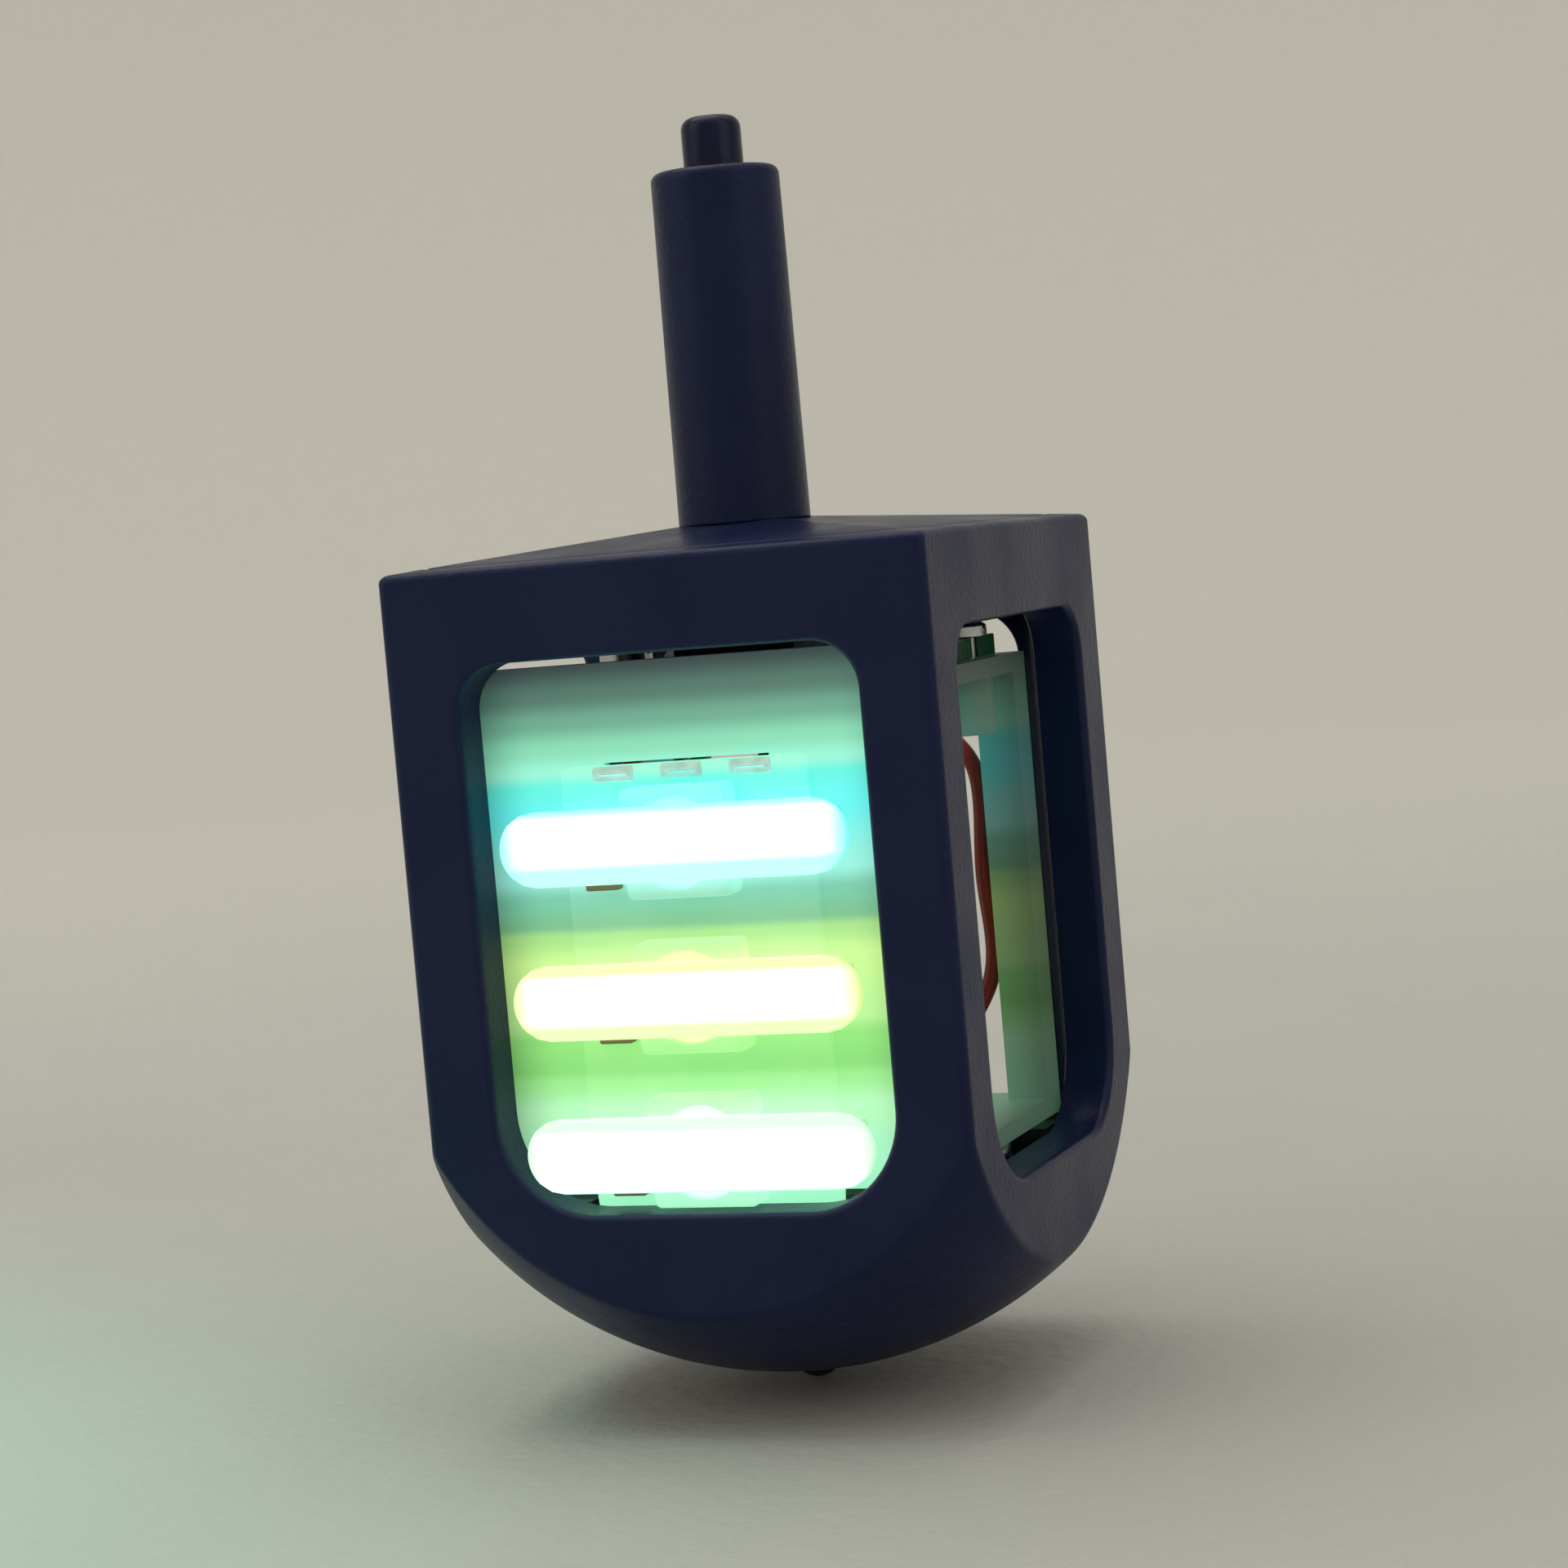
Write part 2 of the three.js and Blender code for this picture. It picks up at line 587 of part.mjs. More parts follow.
function lightCarrier() {
  const wallBack = carrierFront + CARRIER_WALL;
  const frame = block([-carrierHalf, carrierFront, frameFoot], [carrierHalf, CARRIER_REAR, boardFoot]);
  const frameOpening = block(
    [-carrierHalf + FRAME_BAR, carrierFront + FRAME_BAR, frameFoot - WALL],
    [carrierHalf - FRAME_BAR, CARRIER_REAR - FRAME_BAR, boardFoot + WALL],
  );
  const posts = [-1, 1].map((side) => {
    const outer = side * carrierHalf;
    const inner = side * (carrierHalf - CARRIER_POST);
    return block(
      [Math.min(outer, inner), CARRIER_REAR - CARRIER_POST, carrierFoot],
      [Math.max(outer, inner), CARRIER_REAR, boardFoot],
    );
  });
  const bosses = [-1, 1].map((side) =>
    cylinder(SCREW_HEAD_DIAMETER + 2 * SLIDE_GAP, boardFoot - SCREW_LENGTH, boardFoot, SMALL_ROUND_STEPS)
      .translate([side * screwX, screwY, 0]));
  const screwHoles = [-1, 1].map((side) =>
    cylinder(SCREW_DIAMETER + 2 * PRESS_GAP, frameFoot - WALL, boardFoot + WALL, SMALL_ROUND_STEPS)
      .translate([side * screwX, screwY, 0]));
  const wireSlot = block(
    [-wireSlotHalf, carrierFront - WALL, wireSlotFoot],
    [wireSlotHalf, wallBack + WALL, wireSlotTop],
  );
  const tabSlot = block(
    [positiveTabX - TAB_WIDTH / 2 - SLIDE_GAP, positiveTabY - SLIDE_GAP, carrierFoot - WALL],
    [positiveTabX + TAB_WIDTH / 2 + SLIDE_GAP, positiveTabY + CONTACT_THICKNESS + SLIDE_GAP, plateTop + WALL],
  );
  const rearNotch = block(
    [-TAB_WIDTH / 2 - SLIDE_GAP, negativeTabFront - SLIDE_GAP, carrierFoot - WALL],
    [TAB_WIDTH / 2 + SLIDE_GAP, half, plateTop + WALL],
  );
  return union([
    block([-carrierHalf, carrierFront, carrierFoot], [carrierHalf, wallBack, carrierTop]),
    block([-carrierHalf, carrierFront, carrierFoot], [carrierHalf, CARRIER_REAR, plateTop]),
    frame.subtract(frameOpening),
    ...posts,
    ...bosses,
  ])
    .subtract(union([...screwHoles, wireSlot, tabSlot, rearNotch]))
    .intersect(squareColumn(cavityHalf - SLIDE_GAP, CAVITY_CORNER_RADIUS, 0, roofApex))
    .intersect(inBowl(cavityRadius - SLIDE_GAP, roofApex));
}

addPiece("light_carrier", lightCarrier(), whitePlastic);

// ---- Light strip ----

function ledHousing(height) {
  const shell = block(
    [-LED_SIZE / 2, ledFront, height - LED_SIZE / 2],
    [LED_SIZE / 2, stripFront - SEAT_GAP, height + LED_SIZE / 2],
  );
  const cup = cylinder(LENS_DIAMETER, 0, LENS_DEPTH + LED_THICKNESS, PIN_STEPS);
  return shell.subtract(cup.rotate([90, 0, 0]).translate([0, ledFront + LENS_DEPTH, height]));
}

function ledLens(height) {
  const resin = cylinder(LENS_DIAMETER - 2 * PRESS_GAP, 0, LENS_DEPTH - 2 * PRESS_GAP, PIN_STEPS);
  return resin.rotate([90, 0, 0]).translate([0, ledFront + LENS_DEPTH - PRESS_GAP, height]);
}

// A milky bar across the window in front of one light, on two legs that stand on the carrier beside the strip.
function lightBar(height) {
  const reach = BAR_HEIGHT / 2;
  const back = ledFront - PRESS_GAP;
  const outline = roundedRectangle(
    -barLength / 2,
    barLength / 2,
    height - reach,
    height + reach,
    reach * BAR_END_ROUNDING,
  );
  const face = carriedForward(outline, back, back - BAR_THICKNESS);
  const legOuter = STRIP_WIDTH / 2 + FREE_GAP + BAR_LEG_WIDTH;
  const legs = [-1, 1].map((side) =>
    block(
      [-BAR_LEG_WIDTH / 2, back - BAR_THICKNESS / 2, height - BAR_LEG_HEIGHT / 2],
      [BAR_LEG_WIDTH / 2, carrierFront - SEAT_GAP, height + BAR_LEG_HEIGHT / 2],
    ).translate([side * (legOuter - BAR_LEG_WIDTH / 2), 0, 0]));
  return union([face, ...legs]);
}

function stripPiece(width, height, thickness, x, z) {
  return block(
    [x - width / 2, stripFront - SEAT_GAP - thickness, z - height / 2],
    [x + width / 2, stripFront - SEAT_GAP, z + height / 2],
  );
}

const flexibleStrip = block(
  [-STRIP_WIDTH / 2, stripFront, stripFoot],
  [STRIP_WIDTH / 2, carrierFront - SEAT_GAP, stripTop],
);
addPiece("led_strip", flexibleStrip, stripWhite);

LIGHTS.forEach(({ name, color }, i) => {
  const height = LED_MIDDLE_HEIGHT + ((LED_COUNT - 1) / 2 - i) * LED_PITCH;
  const [across, up, out] = CAPACITOR_SIZE;
  const capacitorX = -(LED_SIZE / 2 + across);
  const capacitorZ = height - LED_SIZE / 2 + up;
  addPiece(`led_housing_${name}`, ledHousing(height), ledWhite);
  addPiece(`led_lens_${name}`, ledLens(height), litResin(color));
  addPiece(`light_bar_${name}`, lightBar(height), litResin(color));
  addPiece(`strip_capacitor_${name}`, stripPiece(across, up, out, capacitorX, capacitorZ), ceramic);
});

// ---- Board ----

const boardHalf = carrierHalf - BOARD_MARGIN;
const boardFront = carrierFront + CARRIER_WALL + FREE_GAP;
const boardRear = CARRIER_REAR - BOARD_MARGIN / 2;

function controllerBoard() {
  const outline = roundedRectangle(-boardHalf, boardHalf, boardFront, boardRear, CAVITY_CORNER_RADIUS);
  const holes = [-1, 1].map((side) =>
    cylinder(SCREW_DIAMETER + 2 * SLIDE_GAP, boardFoot - WALL, boardTop + WALL, SMALL_ROUND_STEPS)
      .translate([side * screwX, screwY, 0]));
  return raised(outline, boardFoot + SEAT_GAP, boardTop).subtract(union(holes));
}

// A small chip hanging under the board, with legs on each long side.
function controllerChip() {
  const [width, depth, thickness] = CHIP_SIZE;
  const [legWidth, legReach, legThickness] = CHIP_LEG;
  const chipTop = boardFoot - SEAT_GAP;
  const shape = [block([-width / 2, -depth / 2, chipTop - thickness], [width / 2, depth / 2, chipTop])];
  for (let i = 0; i < CHIP_LEGS_PER_SIDE; i += 1) {
    const x = (i - (CHIP_LEGS_PER_SIDE - 1) / 2) * CHIP_LEG_PITCH;
    shape.push(block(
      [x - legWidth / 2, -depth / 2 - legReach, chipTop - legThickness],
      [x + legWidth / 2, depth / 2 + legReach, chipTop],
    ));
  }
  return union(shape);
}

function underBoard([width, depth, thickness], x, y) {
  const highest = boardFoot - SEAT_GAP;
  return block(
    [x - width / 2, y - depth / 2, highest - thickness],
    [x + width / 2, y + depth / 2, highest],
  );
}

function boardScrew(side) {
  const headFoot = boardTop + SEAT_GAP;
  const headTop = headFoot + SCREW_HEAD_HEIGHT;
  const shape = turned([
    [0, headFoot - BOARD_THICKNESS - SCREW_LENGTH / 2],
    [SCREW_DIAMETER / 2, headFoot - BOARD_THICKNESS - SCREW_LENGTH / 2],
    [SCREW_DIAMETER / 2, headFoot],
    [SCREW_HEAD_DIAMETER / 2, headFoot],
    [SCREW_HEAD_DIAMETER / 2, headTop - SCREW_HEAD_HEIGHT / 3],
    [SCREW_HEAD_DIAMETER / 3, headTop],
    [0, headTop],
  ], SMALL_ROUND_STEPS);
  const slotHalf = SCREW_HEAD_DIAMETER / 12;
  const slot = block(
    [-SCREW_HEAD_DIAMETER, -slotHalf, headTop - SCREW_HEAD_HEIGHT / 2],
    [SCREW_HEAD_DIAMETER, slotHalf, headTop + SCREW_HEAD_HEIGHT],
  );
  return shape.subtract(slot).translate([side * screwX, screwY, 0]);
}

// The switch's plunger runs in a well in its body, with room for its whole travel.
const plungerFoot = boardTop + SWITCH_HEIGHT - BUTTON_TRAVEL - PLUNGER_PROUD / 2;

function switchBody() {
  const reach = SWITCH_SIZE / 2;
  const switchTop = boardTop + SWITCH_HEIGHT;
  const well = cylinder(
    PLUNGER_DIAMETER + 2 * SLIDE_GAP,
    plungerFoot - BUTTON_TRAVEL - SLIDE_GAP,
    switchTop + WALL,
    PIN_STEPS,
  );
  const foot = boardTop + SEAT_GAP;
  const [across, along, high] = SWITCH_PIN;
  const pin = block([-across / 2, -along / 2, foot], [across / 2, along / 2, foot + high]);
  const pinX = reach - across;
  const pins = [-1, 1].flatMap((side) => [-1, 1].map((end) =>
    pin.translate([side * pinX, end * reach, 0])));
  return union([block([-reach, -reach, foot], [reach, reach, switchTop]), ...pins]).subtract(well);
}

addPiece("controller_board", controllerBoard(), boardGreen);
addPiece("controller_chip", controllerChip(), blackPlastic);
addPiece("board_capacitor", underBoard(CAPACITOR_ON_BOARD, BOARD_PART_X, BOARD_PART_Y), ceramic);
addPiece("board_resistor", underBoard(RESISTOR_ON_BOARD, -BOARD_PART_X, BOARD_PART_Y), blackPlastic);
addPiece("board_diode", underBoard(DIODE_ON_BOARD, 0, DIODE_Y), blackPlastic);
addPiece("board_screw_left", boardScrew(-1), springSteel);
addPiece("board_screw_right", boardScrew(1), springSteel);
addPiece("switch_body", switchBody(), blackPlastic);
addPiece("switch_plunger", cylinder(PLUNGER_DIAMETER, plungerFoot, plungerTop, PIN_STEPS), whitePlastic);

// ---- Pads and wires ----

const solderGap = WIRE_DIAMETER / 2 + PRESS_GAP;
const boardEnd = boardFoot - PRESS_GAP;
const stripWireY = boardFront + WIRE_DIAMETER * 3;

[
  ["power", -1, redInsulation],
  ["data", 0, greenInsulation],
  ["ground", 1, blackInsulation],
].forEach(([name, place, insulation]) => {
  const x = place * PAD_PITCH;
  const wallBack = carrierFront + CARRIER_WALL;
  addPiece(`strip_pad_${name}`, stripPiece(PAD_WIDTH, PAD_HEIGHT, PAD_THICKNESS, x, padHeight), solderTin);
  const wire = wireAlong([
    [x, carrierFront + PRESS_GAP, padHeight],
    [x, wallBack, padHeight],
    [x, (wallBack + stripWireY) / 2 + WIRE_DIAMETER / 2, padHeight + WIRE_DIAMETER],
    [x, stripWireY, (padHeight + boardEnd) / 2 + WIRE_DIAMETER / 2],
    [x, stripWireY, boardEnd],
  ], WIRE_DIAMETER);
  addPiece(`strip_wire_${name}`, wire, insulation);
});

// The cell's two wires climb beside the carrier's rear posts and end under the board.
function batteryWire(side, startX, startY, startZ) {
  const climbX = side * (carrierHalf - CARRIER_POST - 2 * FREE_GAP - WIRE_DIAMETER / 2);
  const climbY = CARRIER_REAR - WIRE_DIAMETER;
  const endX = side * (carrierHalf - FRAME_BAR - WIRE_DIAMETER);
  const endY = CARRIER_REAR - FRAME_BAR - WIRE_DIAMETER;
  return wireAlong([
    [startX, startY, startZ],
    [startX, startY, startZ + WIRE_DIAMETER],
    [climbX, climbY, startZ + BATTERY_WIRE_BEND],
    [climbX, climbY, (startZ + boardEnd) / 2],
    [climbX, climbY, boardEnd - BATTERY_WIRE_BEND],
    [endX, endY, boardEnd - 3 * WIRE_DIAMETER],
    [endX, endY, boardEnd],
  ], WIRE_DIAMETER);
}

const positiveSolderY = positiveTabY + CONTACT_THICKNESS + solderGap;
const negativeSolderY = negativeTabFront - solderGap;
const wireStart = plateTop + solderGap;
addPiece("battery_wire_positive", batteryWire(1, positiveTabX, positiveSolderY, wireStart), redInsulation);
addPiece("battery_wire_negative", batteryWire(-1, 0, negativeSolderY, wireStart), blackInsulation);

export default top;
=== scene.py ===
import math

import bmesh
import bpy
import numpy as np
from mathutils import Matrix, Vector


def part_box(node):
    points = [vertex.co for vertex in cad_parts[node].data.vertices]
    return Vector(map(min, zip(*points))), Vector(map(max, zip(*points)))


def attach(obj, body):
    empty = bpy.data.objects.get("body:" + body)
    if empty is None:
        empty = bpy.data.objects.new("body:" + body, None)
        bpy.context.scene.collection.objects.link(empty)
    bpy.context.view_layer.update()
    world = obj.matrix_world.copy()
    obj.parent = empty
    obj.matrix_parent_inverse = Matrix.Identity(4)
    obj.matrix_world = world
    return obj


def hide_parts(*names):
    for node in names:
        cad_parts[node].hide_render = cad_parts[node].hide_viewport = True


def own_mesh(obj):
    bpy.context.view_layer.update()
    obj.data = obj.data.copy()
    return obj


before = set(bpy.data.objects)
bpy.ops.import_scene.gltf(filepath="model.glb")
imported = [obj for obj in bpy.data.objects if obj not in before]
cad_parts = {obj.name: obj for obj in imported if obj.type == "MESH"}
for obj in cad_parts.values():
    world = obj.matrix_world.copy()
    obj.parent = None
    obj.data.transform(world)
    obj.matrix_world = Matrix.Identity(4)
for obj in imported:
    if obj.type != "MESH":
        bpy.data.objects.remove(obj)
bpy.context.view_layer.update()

# A light up spinning top: a square navy shell with a window in each side and a ball-shaped base, a round
# finger stem with a push pin, and three lit bars in front of a strip of lights. Metres, +Z up the axis,
# with the tip at the origin.
MM = 0.001


# ---- Camera ----
# A long lens, level with the top edge of the body and a little to the right of the lit window. It is
# rolled, so that the top leans to the left as a spinning top does.
CAMERA_AZIMUTH = math.radians(21)
CAMERA_ELEVATION = math.radians(4)
CAMERA_ROLL = math.radians(5)
CAMERA_DISTANCE = 174 * MM
CAMERA_LENS = 84.7
CLIP_START = 10 * MM
AIM_HEIGHT = 28.3 * MM
AIM_ASIDE = 0.75 * MM

level = Vector((math.cos(CAMERA_AZIMUTH), math.sin(CAMERA_AZIMUTH), 0))
back = Vector((
    math.sin(CAMERA_AZIMUTH) * math.cos(CAMERA_ELEVATION),
    -math.cos(CAMERA_AZIMUTH) * math.cos(CAMERA_ELEVATION),
    math.sin(CAMERA_ELEVATION),
))
upright = back.cross(level)
camera_right = math.cos(CAMERA_ROLL) * level - math.sin(CAMERA_ROLL) * upright
camera_up = math.sin(CAMERA_ROLL) * level + math.cos(CAMERA_ROLL) * upright

camera_data = bpy.data.cameras.new("camera")
camera_data.lens = CAMERA_LENS
camera_data.clip_start = CLIP_START
camera = bpy.data.objects.new("camera", camera_data)
bpy.context.scene.collection.objects.link(camera)
turn = Matrix((camera_right, camera_up, back)).transposed().to_4x4()
aim = level * AIM_ASIDE + Vector((0, 0, AIM_HEIGHT))
camera.matrix_world = Matrix.Translation(aim + back * CAMERA_DISTANCE) @ turn
bpy.context.scene.camera = camera
bpy.context.scene.view_settings.view_transform = "Standard"


# ---- Stage and studio light ----
# A pale, warm grey round floor that sweeps up into a wall all the way round, under three soft lamps and a
# dim sky.

def grid_quads(rows, columns, closed):
    """Quads between neighbours in a grid numbered row by row; closed joins the last column to the first."""
    across = columns if closed else columns - 1
    row, column = np.meshgrid(np.arange(rows - 1), np.arange(across), indexing="ij")
    following = (column + 1) % columns
    corners = (row * columns + column, row * columns + following,
               (row + 1) * columns + following, (row + 1) * columns + column)
    return np.stack(corners, -1).reshape(-1, 4)


def turned(profile, steps=96):
    """A profile of [radius, height] rows carried round the axis: x = r cos a, y = r sin a, z = height."""
    angle = np.linspace(0, 2 * math.pi, steps, endpoint=False)
    radius, height = np.asarray(profile, float).T
    return np.stack([
        radius[:, None] * np.cos(angle),
        radius[:, None] * np.sin(angle),
        np.repeat(height[:, None], steps, axis=1),
    ], -1)


def place_node(tree, kind, inputs, **settings):
    """A node in a material or a group. Each input takes a number, a colour or another node's output."""
    node = tree.nodes.new("ShaderNode" + kind)
    for setting, value in settings.items():
        setattr(node, setting, value)
    for socket, value in inputs.items():
        if isinstance(value, bpy.types.NodeSocket):
            tree.links.new(value, node.inputs[socket])
        elif isinstance(value, tuple):
            node.inputs[socket].default_value = (*value, 1)
        else:
            node.inputs[socket].default_value = value
    return node


def open_group(name, setting, result, kind):
    """A node group with one number to set and one result of a kind; returns it and its two end nodes."""
    group = bpy.data.node_groups.new(name, "ShaderNodeTree")
    group.interface.new_socket(setting, in_out="INPUT", socket_type="NodeSocketFloat")
    group.interface.new_socket(result, in_out="OUTPUT", socket_type="NodeSocket" + kind)
    return group, group.nodes.new("NodeGroupInput"), group.nodes.new("NodeGroupOutput")


def object_place(tree):
    """The Object coordinates of the surface."""
    return place_node(tree, "TexCoord", {}).outputs["Object"]


def ranged(tree, value, start, end, low=0, high=1, easing="LINEAR"):
    """A value that runs from low to high as another runs from start to end, and stays there beyond."""
    return place_node(tree, "MapRange", {
        "Value": value, "From Min": start, "From Max": end, "To Min": low, "To Max": high,
    }, interpolation_type=easing).outputs["Result"]


def blended(tree, mask, first, second):
    """A colour that runs from first to second with the mask."""
    return place_node(
        tree, "Mix", {"Factor": mask, "A": first, "B": second}, data_type="RGBA").outputs["Result"]


MOTTLE_DETAIL = 5
MOTTLE_FROM, MOTTLE_TO = 0.32, 0.68


def mottle_group():
    """Slow cloudy variation: a mask from 0 to 1, by smoothstep from fractal noise on Object coordinates."""
    group, inputs, outputs = open_group("mottle", "Scale", "Mask", "Float")
    noise = place_node(group, "TexNoise", {
        "Vector": object_place(group), "Scale": inputs.outputs["Scale"], "Detail": MOTTLE_DETAIL})
    mask = ranged(group, noise.outputs["Fac"], MOTTLE_FROM, MOTTLE_TO, easing="SMOOTHSTEP")
    group.links.new(mask, outputs.inputs["Mask"])
    return group


mottle = mottle_group()


def mottled(tree, scale):
    """The mottle mask at a scale, placed in a material."""
    return place_node(tree, "Group", {"Scale": scale}, node_tree=mottle).outputs["Mask"]


def new_material(name, roughness, metallic=0.0, coat=0.0, specular=0.5):
    """A material with plain finish values on its own Principled shader; returns it, its nodes and shader."""
    material = bpy.data.materials.new(name)
    material.use_nodes = True
    shader = material.node_tree.nodes["Principled BSDF"]
    shader.inputs["Roughness"].default_value = roughness
    shader.inputs["Metallic"].default_value = metallic
    shader.inputs["Coat Weight"].default_value = coat
    shader.inputs["Specular IOR Level"].default_value = specular
    return material, material.node_tree, shader


def bump_by(tree, shader, height, strength, distance):
    """Raises the shader's normal with a height."""
    bump = place_node(tree, "Bump", {"Height": height, "Strength": strength, "Distance": distance})
    tree.links.new(bump.outputs["Normal"], shader.inputs["Normal"])


FLOOR_RADIUS = 0.45
SWEEP_RADIUS = 0.3
WALL_TOP = 0.9
FLOOR_STEPS, SWEEP_STEPS, ROUND_STEPS = 12, 25, 128
FLOOR_COLOUR, CLOUD_COLOUR = (0.475, 0.468, 0.44), (0.455, 0.449, 0.424)
BACKDROP_COLOUR = (0.63, 0.62, 0.575)
FLOOR_CLOUDS, FLOOR_GRAIN = 26, 900
FLOOR_BUMP, FLOOR_BUMP_DEPTH = 0.25, 0.2 * MM
SKY_COLOUR, SKY_STRENGTH = (1.0, 0.98, 0.94, 1), 0.9

sweep = np.linspace(-math.pi / 2, 0, SWEEP_STEPS)
stage_profile = np.concatenate([
    np.stack([np.linspace(0, FLOOR_RADIUS, FLOOR_STEPS), np.zeros(FLOOR_STEPS)], -1)[:-1],
    np.stack([FLOOR_RADIUS + SWEEP_RADIUS * np.cos(sweep), SWEEP_RADIUS * (1 + np.sin(sweep))], -1),
    [[FLOOR_RADIUS + SWEEP_RADIUS, WALL_TOP]],
])
stage_grid = turned(stage_profile, ROUND_STEPS)
stage_faces = grid_quads(*stage_grid.shape[:2], True)
stage_mesh = bpy.data.meshes.new("studio_floor")
stage_mesh.from_pydata(stage_grid.reshape(-1, 3).tolist(), [], stage_faces.tolist())
stage_mesh.shade_smooth()
studio_floor = bpy.data.objects.new("studio_floor", stage_mesh)
bpy.context.scene.collection.objects.link(studio_floor)
floor_paint, floor_tree, floor_shader = new_material("floor paint", 0.7)
far_away = place_node(floor_tree, "VectorMath", {0: object_place(floor_tree)}, operation="LENGTH")
backdrop_mask = ranged(floor_tree, far_away.outputs["Value"], 0, FLOOR_RADIUS, easing="SMOOTHSTEP")
near_paint = blended(floor_tree, mottled(floor_tree, FLOOR_CLOUDS), FLOOR_COLOUR, CLOUD_COLOUR)
paint_blend = blended(floor_tree, backdrop_mask, near_paint, BACKDROP_COLOUR)
floor_tree.links.new(paint_blend, floor_shader.inputs["Base Color"])
bump_by(floor_tree, floor_shader, mottled(floor_tree, FLOOR_GRAIN), FLOOR_BUMP, FLOOR_BUMP_DEPTH)
stage_mesh.materials.append(floor_paint)

sky = bpy.data.worlds.new("sky")
sky.use_nodes = True
sky.node_tree.nodes["Background"].inputs["Color"].default_value = SKY_COLOUR
sky.node_tree.nodes["Background"].inputs["Strength"].default_value = SKY_STRENGTH
bpy.context.scene.world = sky


def soft_lamp(name, place, towards, size, power, colour):
    """A square area lamp at a place, facing a point."""
    data = bpy.data.lights.new(name, "AREA")
    data.size = size
    data.energy = power
    data.color = colour
    lamp = bpy.data.objects.new(name, data)
    lamp.location = place
    lamp.rotation_euler = (Vector(towards) - Vector(place)).to_track_quat("-Z", "Y").to_euler()
    lamp.visible_camera = False
    bpy.context.scene.collection.objects.link(lamp)
    return lamp


middle = (0, 0, 25 * MM)
soft_lamp("overhead_lamp", (-0.15, 0.1, 0.7), middle, 0.6, 1.3, (1.0, 0.97, 0.9))
soft_lamp("left_lamp", (-0.45, -0.35, 0.35), middle, 0.4, 0.5, (1.0, 0.98, 0.94))
soft_lamp("right_lamp", (0.5, -0.15, 0.3), middle, 0.4, 0.35, (0.97, 0.98, 1.0))


# ---- Shell ----
# One moulding in dark navy plastic: a square column that ends in a ball-shaped base. It has a window in each
# side, a pocket for the cover at the top, and a boss with a blind hole at the bottom for the tip.
WELD = 0.002 * MM
SIDE_STEPS, CORNER_STEPS, HEIGHT_STEPS = 72, 8, 72
CORNER_POINTS = 33
EDGE_ROWS, WINDOW_EDGE_ROWS, REVEAL_ROWS = 5, 6, 5
BALL_ROWS, BOWL_ROWS = 30, 22
EDGE_RADIUS = 0.5 * MM
EDGE_ROUNDING = 0.35 * MM
INNER_ROUNDING = 0.08 * MM
SHELL_WALL = 2.4 * MM
CAVITY_CORNER = 1 * MM
HIP_HEIGHT = 13.2 * MM
COVER_EDGE = 1.5 * MM
POCKET_GAP = 0.1 * MM
ROOF_RISE = 1 * MM
TIP_BOSS_RADIUS = 2.5 * MM
TIP_BOSS_ROOF = 0.5 * MM
TIP_PROTRUSION = 0.75 * MM
PRESS_GAP = 0.05 * MM
POLE_RADIUS = 0.6 * MM
WINDOW_BOTTOM = 10.45 * MM
WINDOW_LOWER_RADIUS, WINDOW_UPPER_RADIUS = 4.4 * MM, 2.2 * MM
RAIL_HEIGHT = 4.3 * MM
WINDOW_SIDE_GAP = 1.2 * MM

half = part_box("body_shell")[1].x
cavity = half - SHELL_WALL
plate_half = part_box("top_cover")[1].x
pocket = plate_half + POCKET_GAP
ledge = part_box("stem")[0].z
top_edge = ledge + COVER_EDGE
stem_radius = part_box("stem")[1].x
roof_slope = ROOF_RISE / (half - stem_radius)
tip_radius, tip_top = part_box("pivot_tip")[1].x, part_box("pivot_tip")[1].z
window_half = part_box("light_bar_top")[1].x + WINDOW_SIDE_GAP
window_top = top_edge - RAIL_HEIGHT

# The base's ball passes through its lowest point and the lower ends of the four upright edges.
corner_reach = half * math.sqrt(2) - EDGE_RADIUS * (math.sqrt(2) - 1)
ball_rise = HIP_HEIGHT - TIP_PROTRUSION
ball = (corner_reach ** 2 + ball_rise ** 2) / (2 * ball_rise)
ball_centre = TIP_PROTRUSION + ball
inner_ball = ball - SHELL_WALL


def quarter_turned(points, quarters):
    """Points turned about the axis by quarter turns: x' = x cos a - y sin a, y' = x sin a + y cos a."""
    cosine, sine = ((1, 0), (0, 1), (-1, 0), (0, -1))[quarters % 4]
    x, y = points[..., 0], points[..., 1]
    return np.concatenate([
        (x * cosine - y * sine)[..., None], (x * sine + y * cosine)[..., None], points[..., 2:]], -1)


def square_ring(reach, radius):
    """Points round a square of half side reach with round corners, from the left end of the front side:
    each side is an even row and each corner a quarter circle of the radius."""
    along = np.linspace(-(reach - radius), reach - radius, SIDE_STEPS + 1)
    bend = np.linspace(-math.pi / 2, 0, CORNER_STEPS + 1)[1:-1]
    side = np.stack([along, np.full_like(along, -reach)], -1)
    corner = np.stack([
        reach - radius + radius * np.cos(bend), -(reach - radius) + radius * np.sin(bend)], -1)
    quarter = np.concatenate([side, corner])
    return np.concatenate([quarter_turned(quarter, k) for k in range(4)])


def at_height(ring, height):
    """A flat ring of points lifted to a height, which may differ from point to point."""
    return np.concatenate([ring, np.broadcast_to(height, len(ring))[:, None]], -1)


def bowl_height(distance, radius):
    """The lower half of the ball: centre - sqrt(radius^2 - distance^2)."""
    return ball_centre - np.sqrt(radius ** 2 - distance ** 2)


def roof_height(ring):
    """The four-sided roof: it climbs evenly from the top edge with the nearer side's distance."""
    return top_edge + roof_slope * (half - np.abs(ring[:, :2]).max(axis=1))


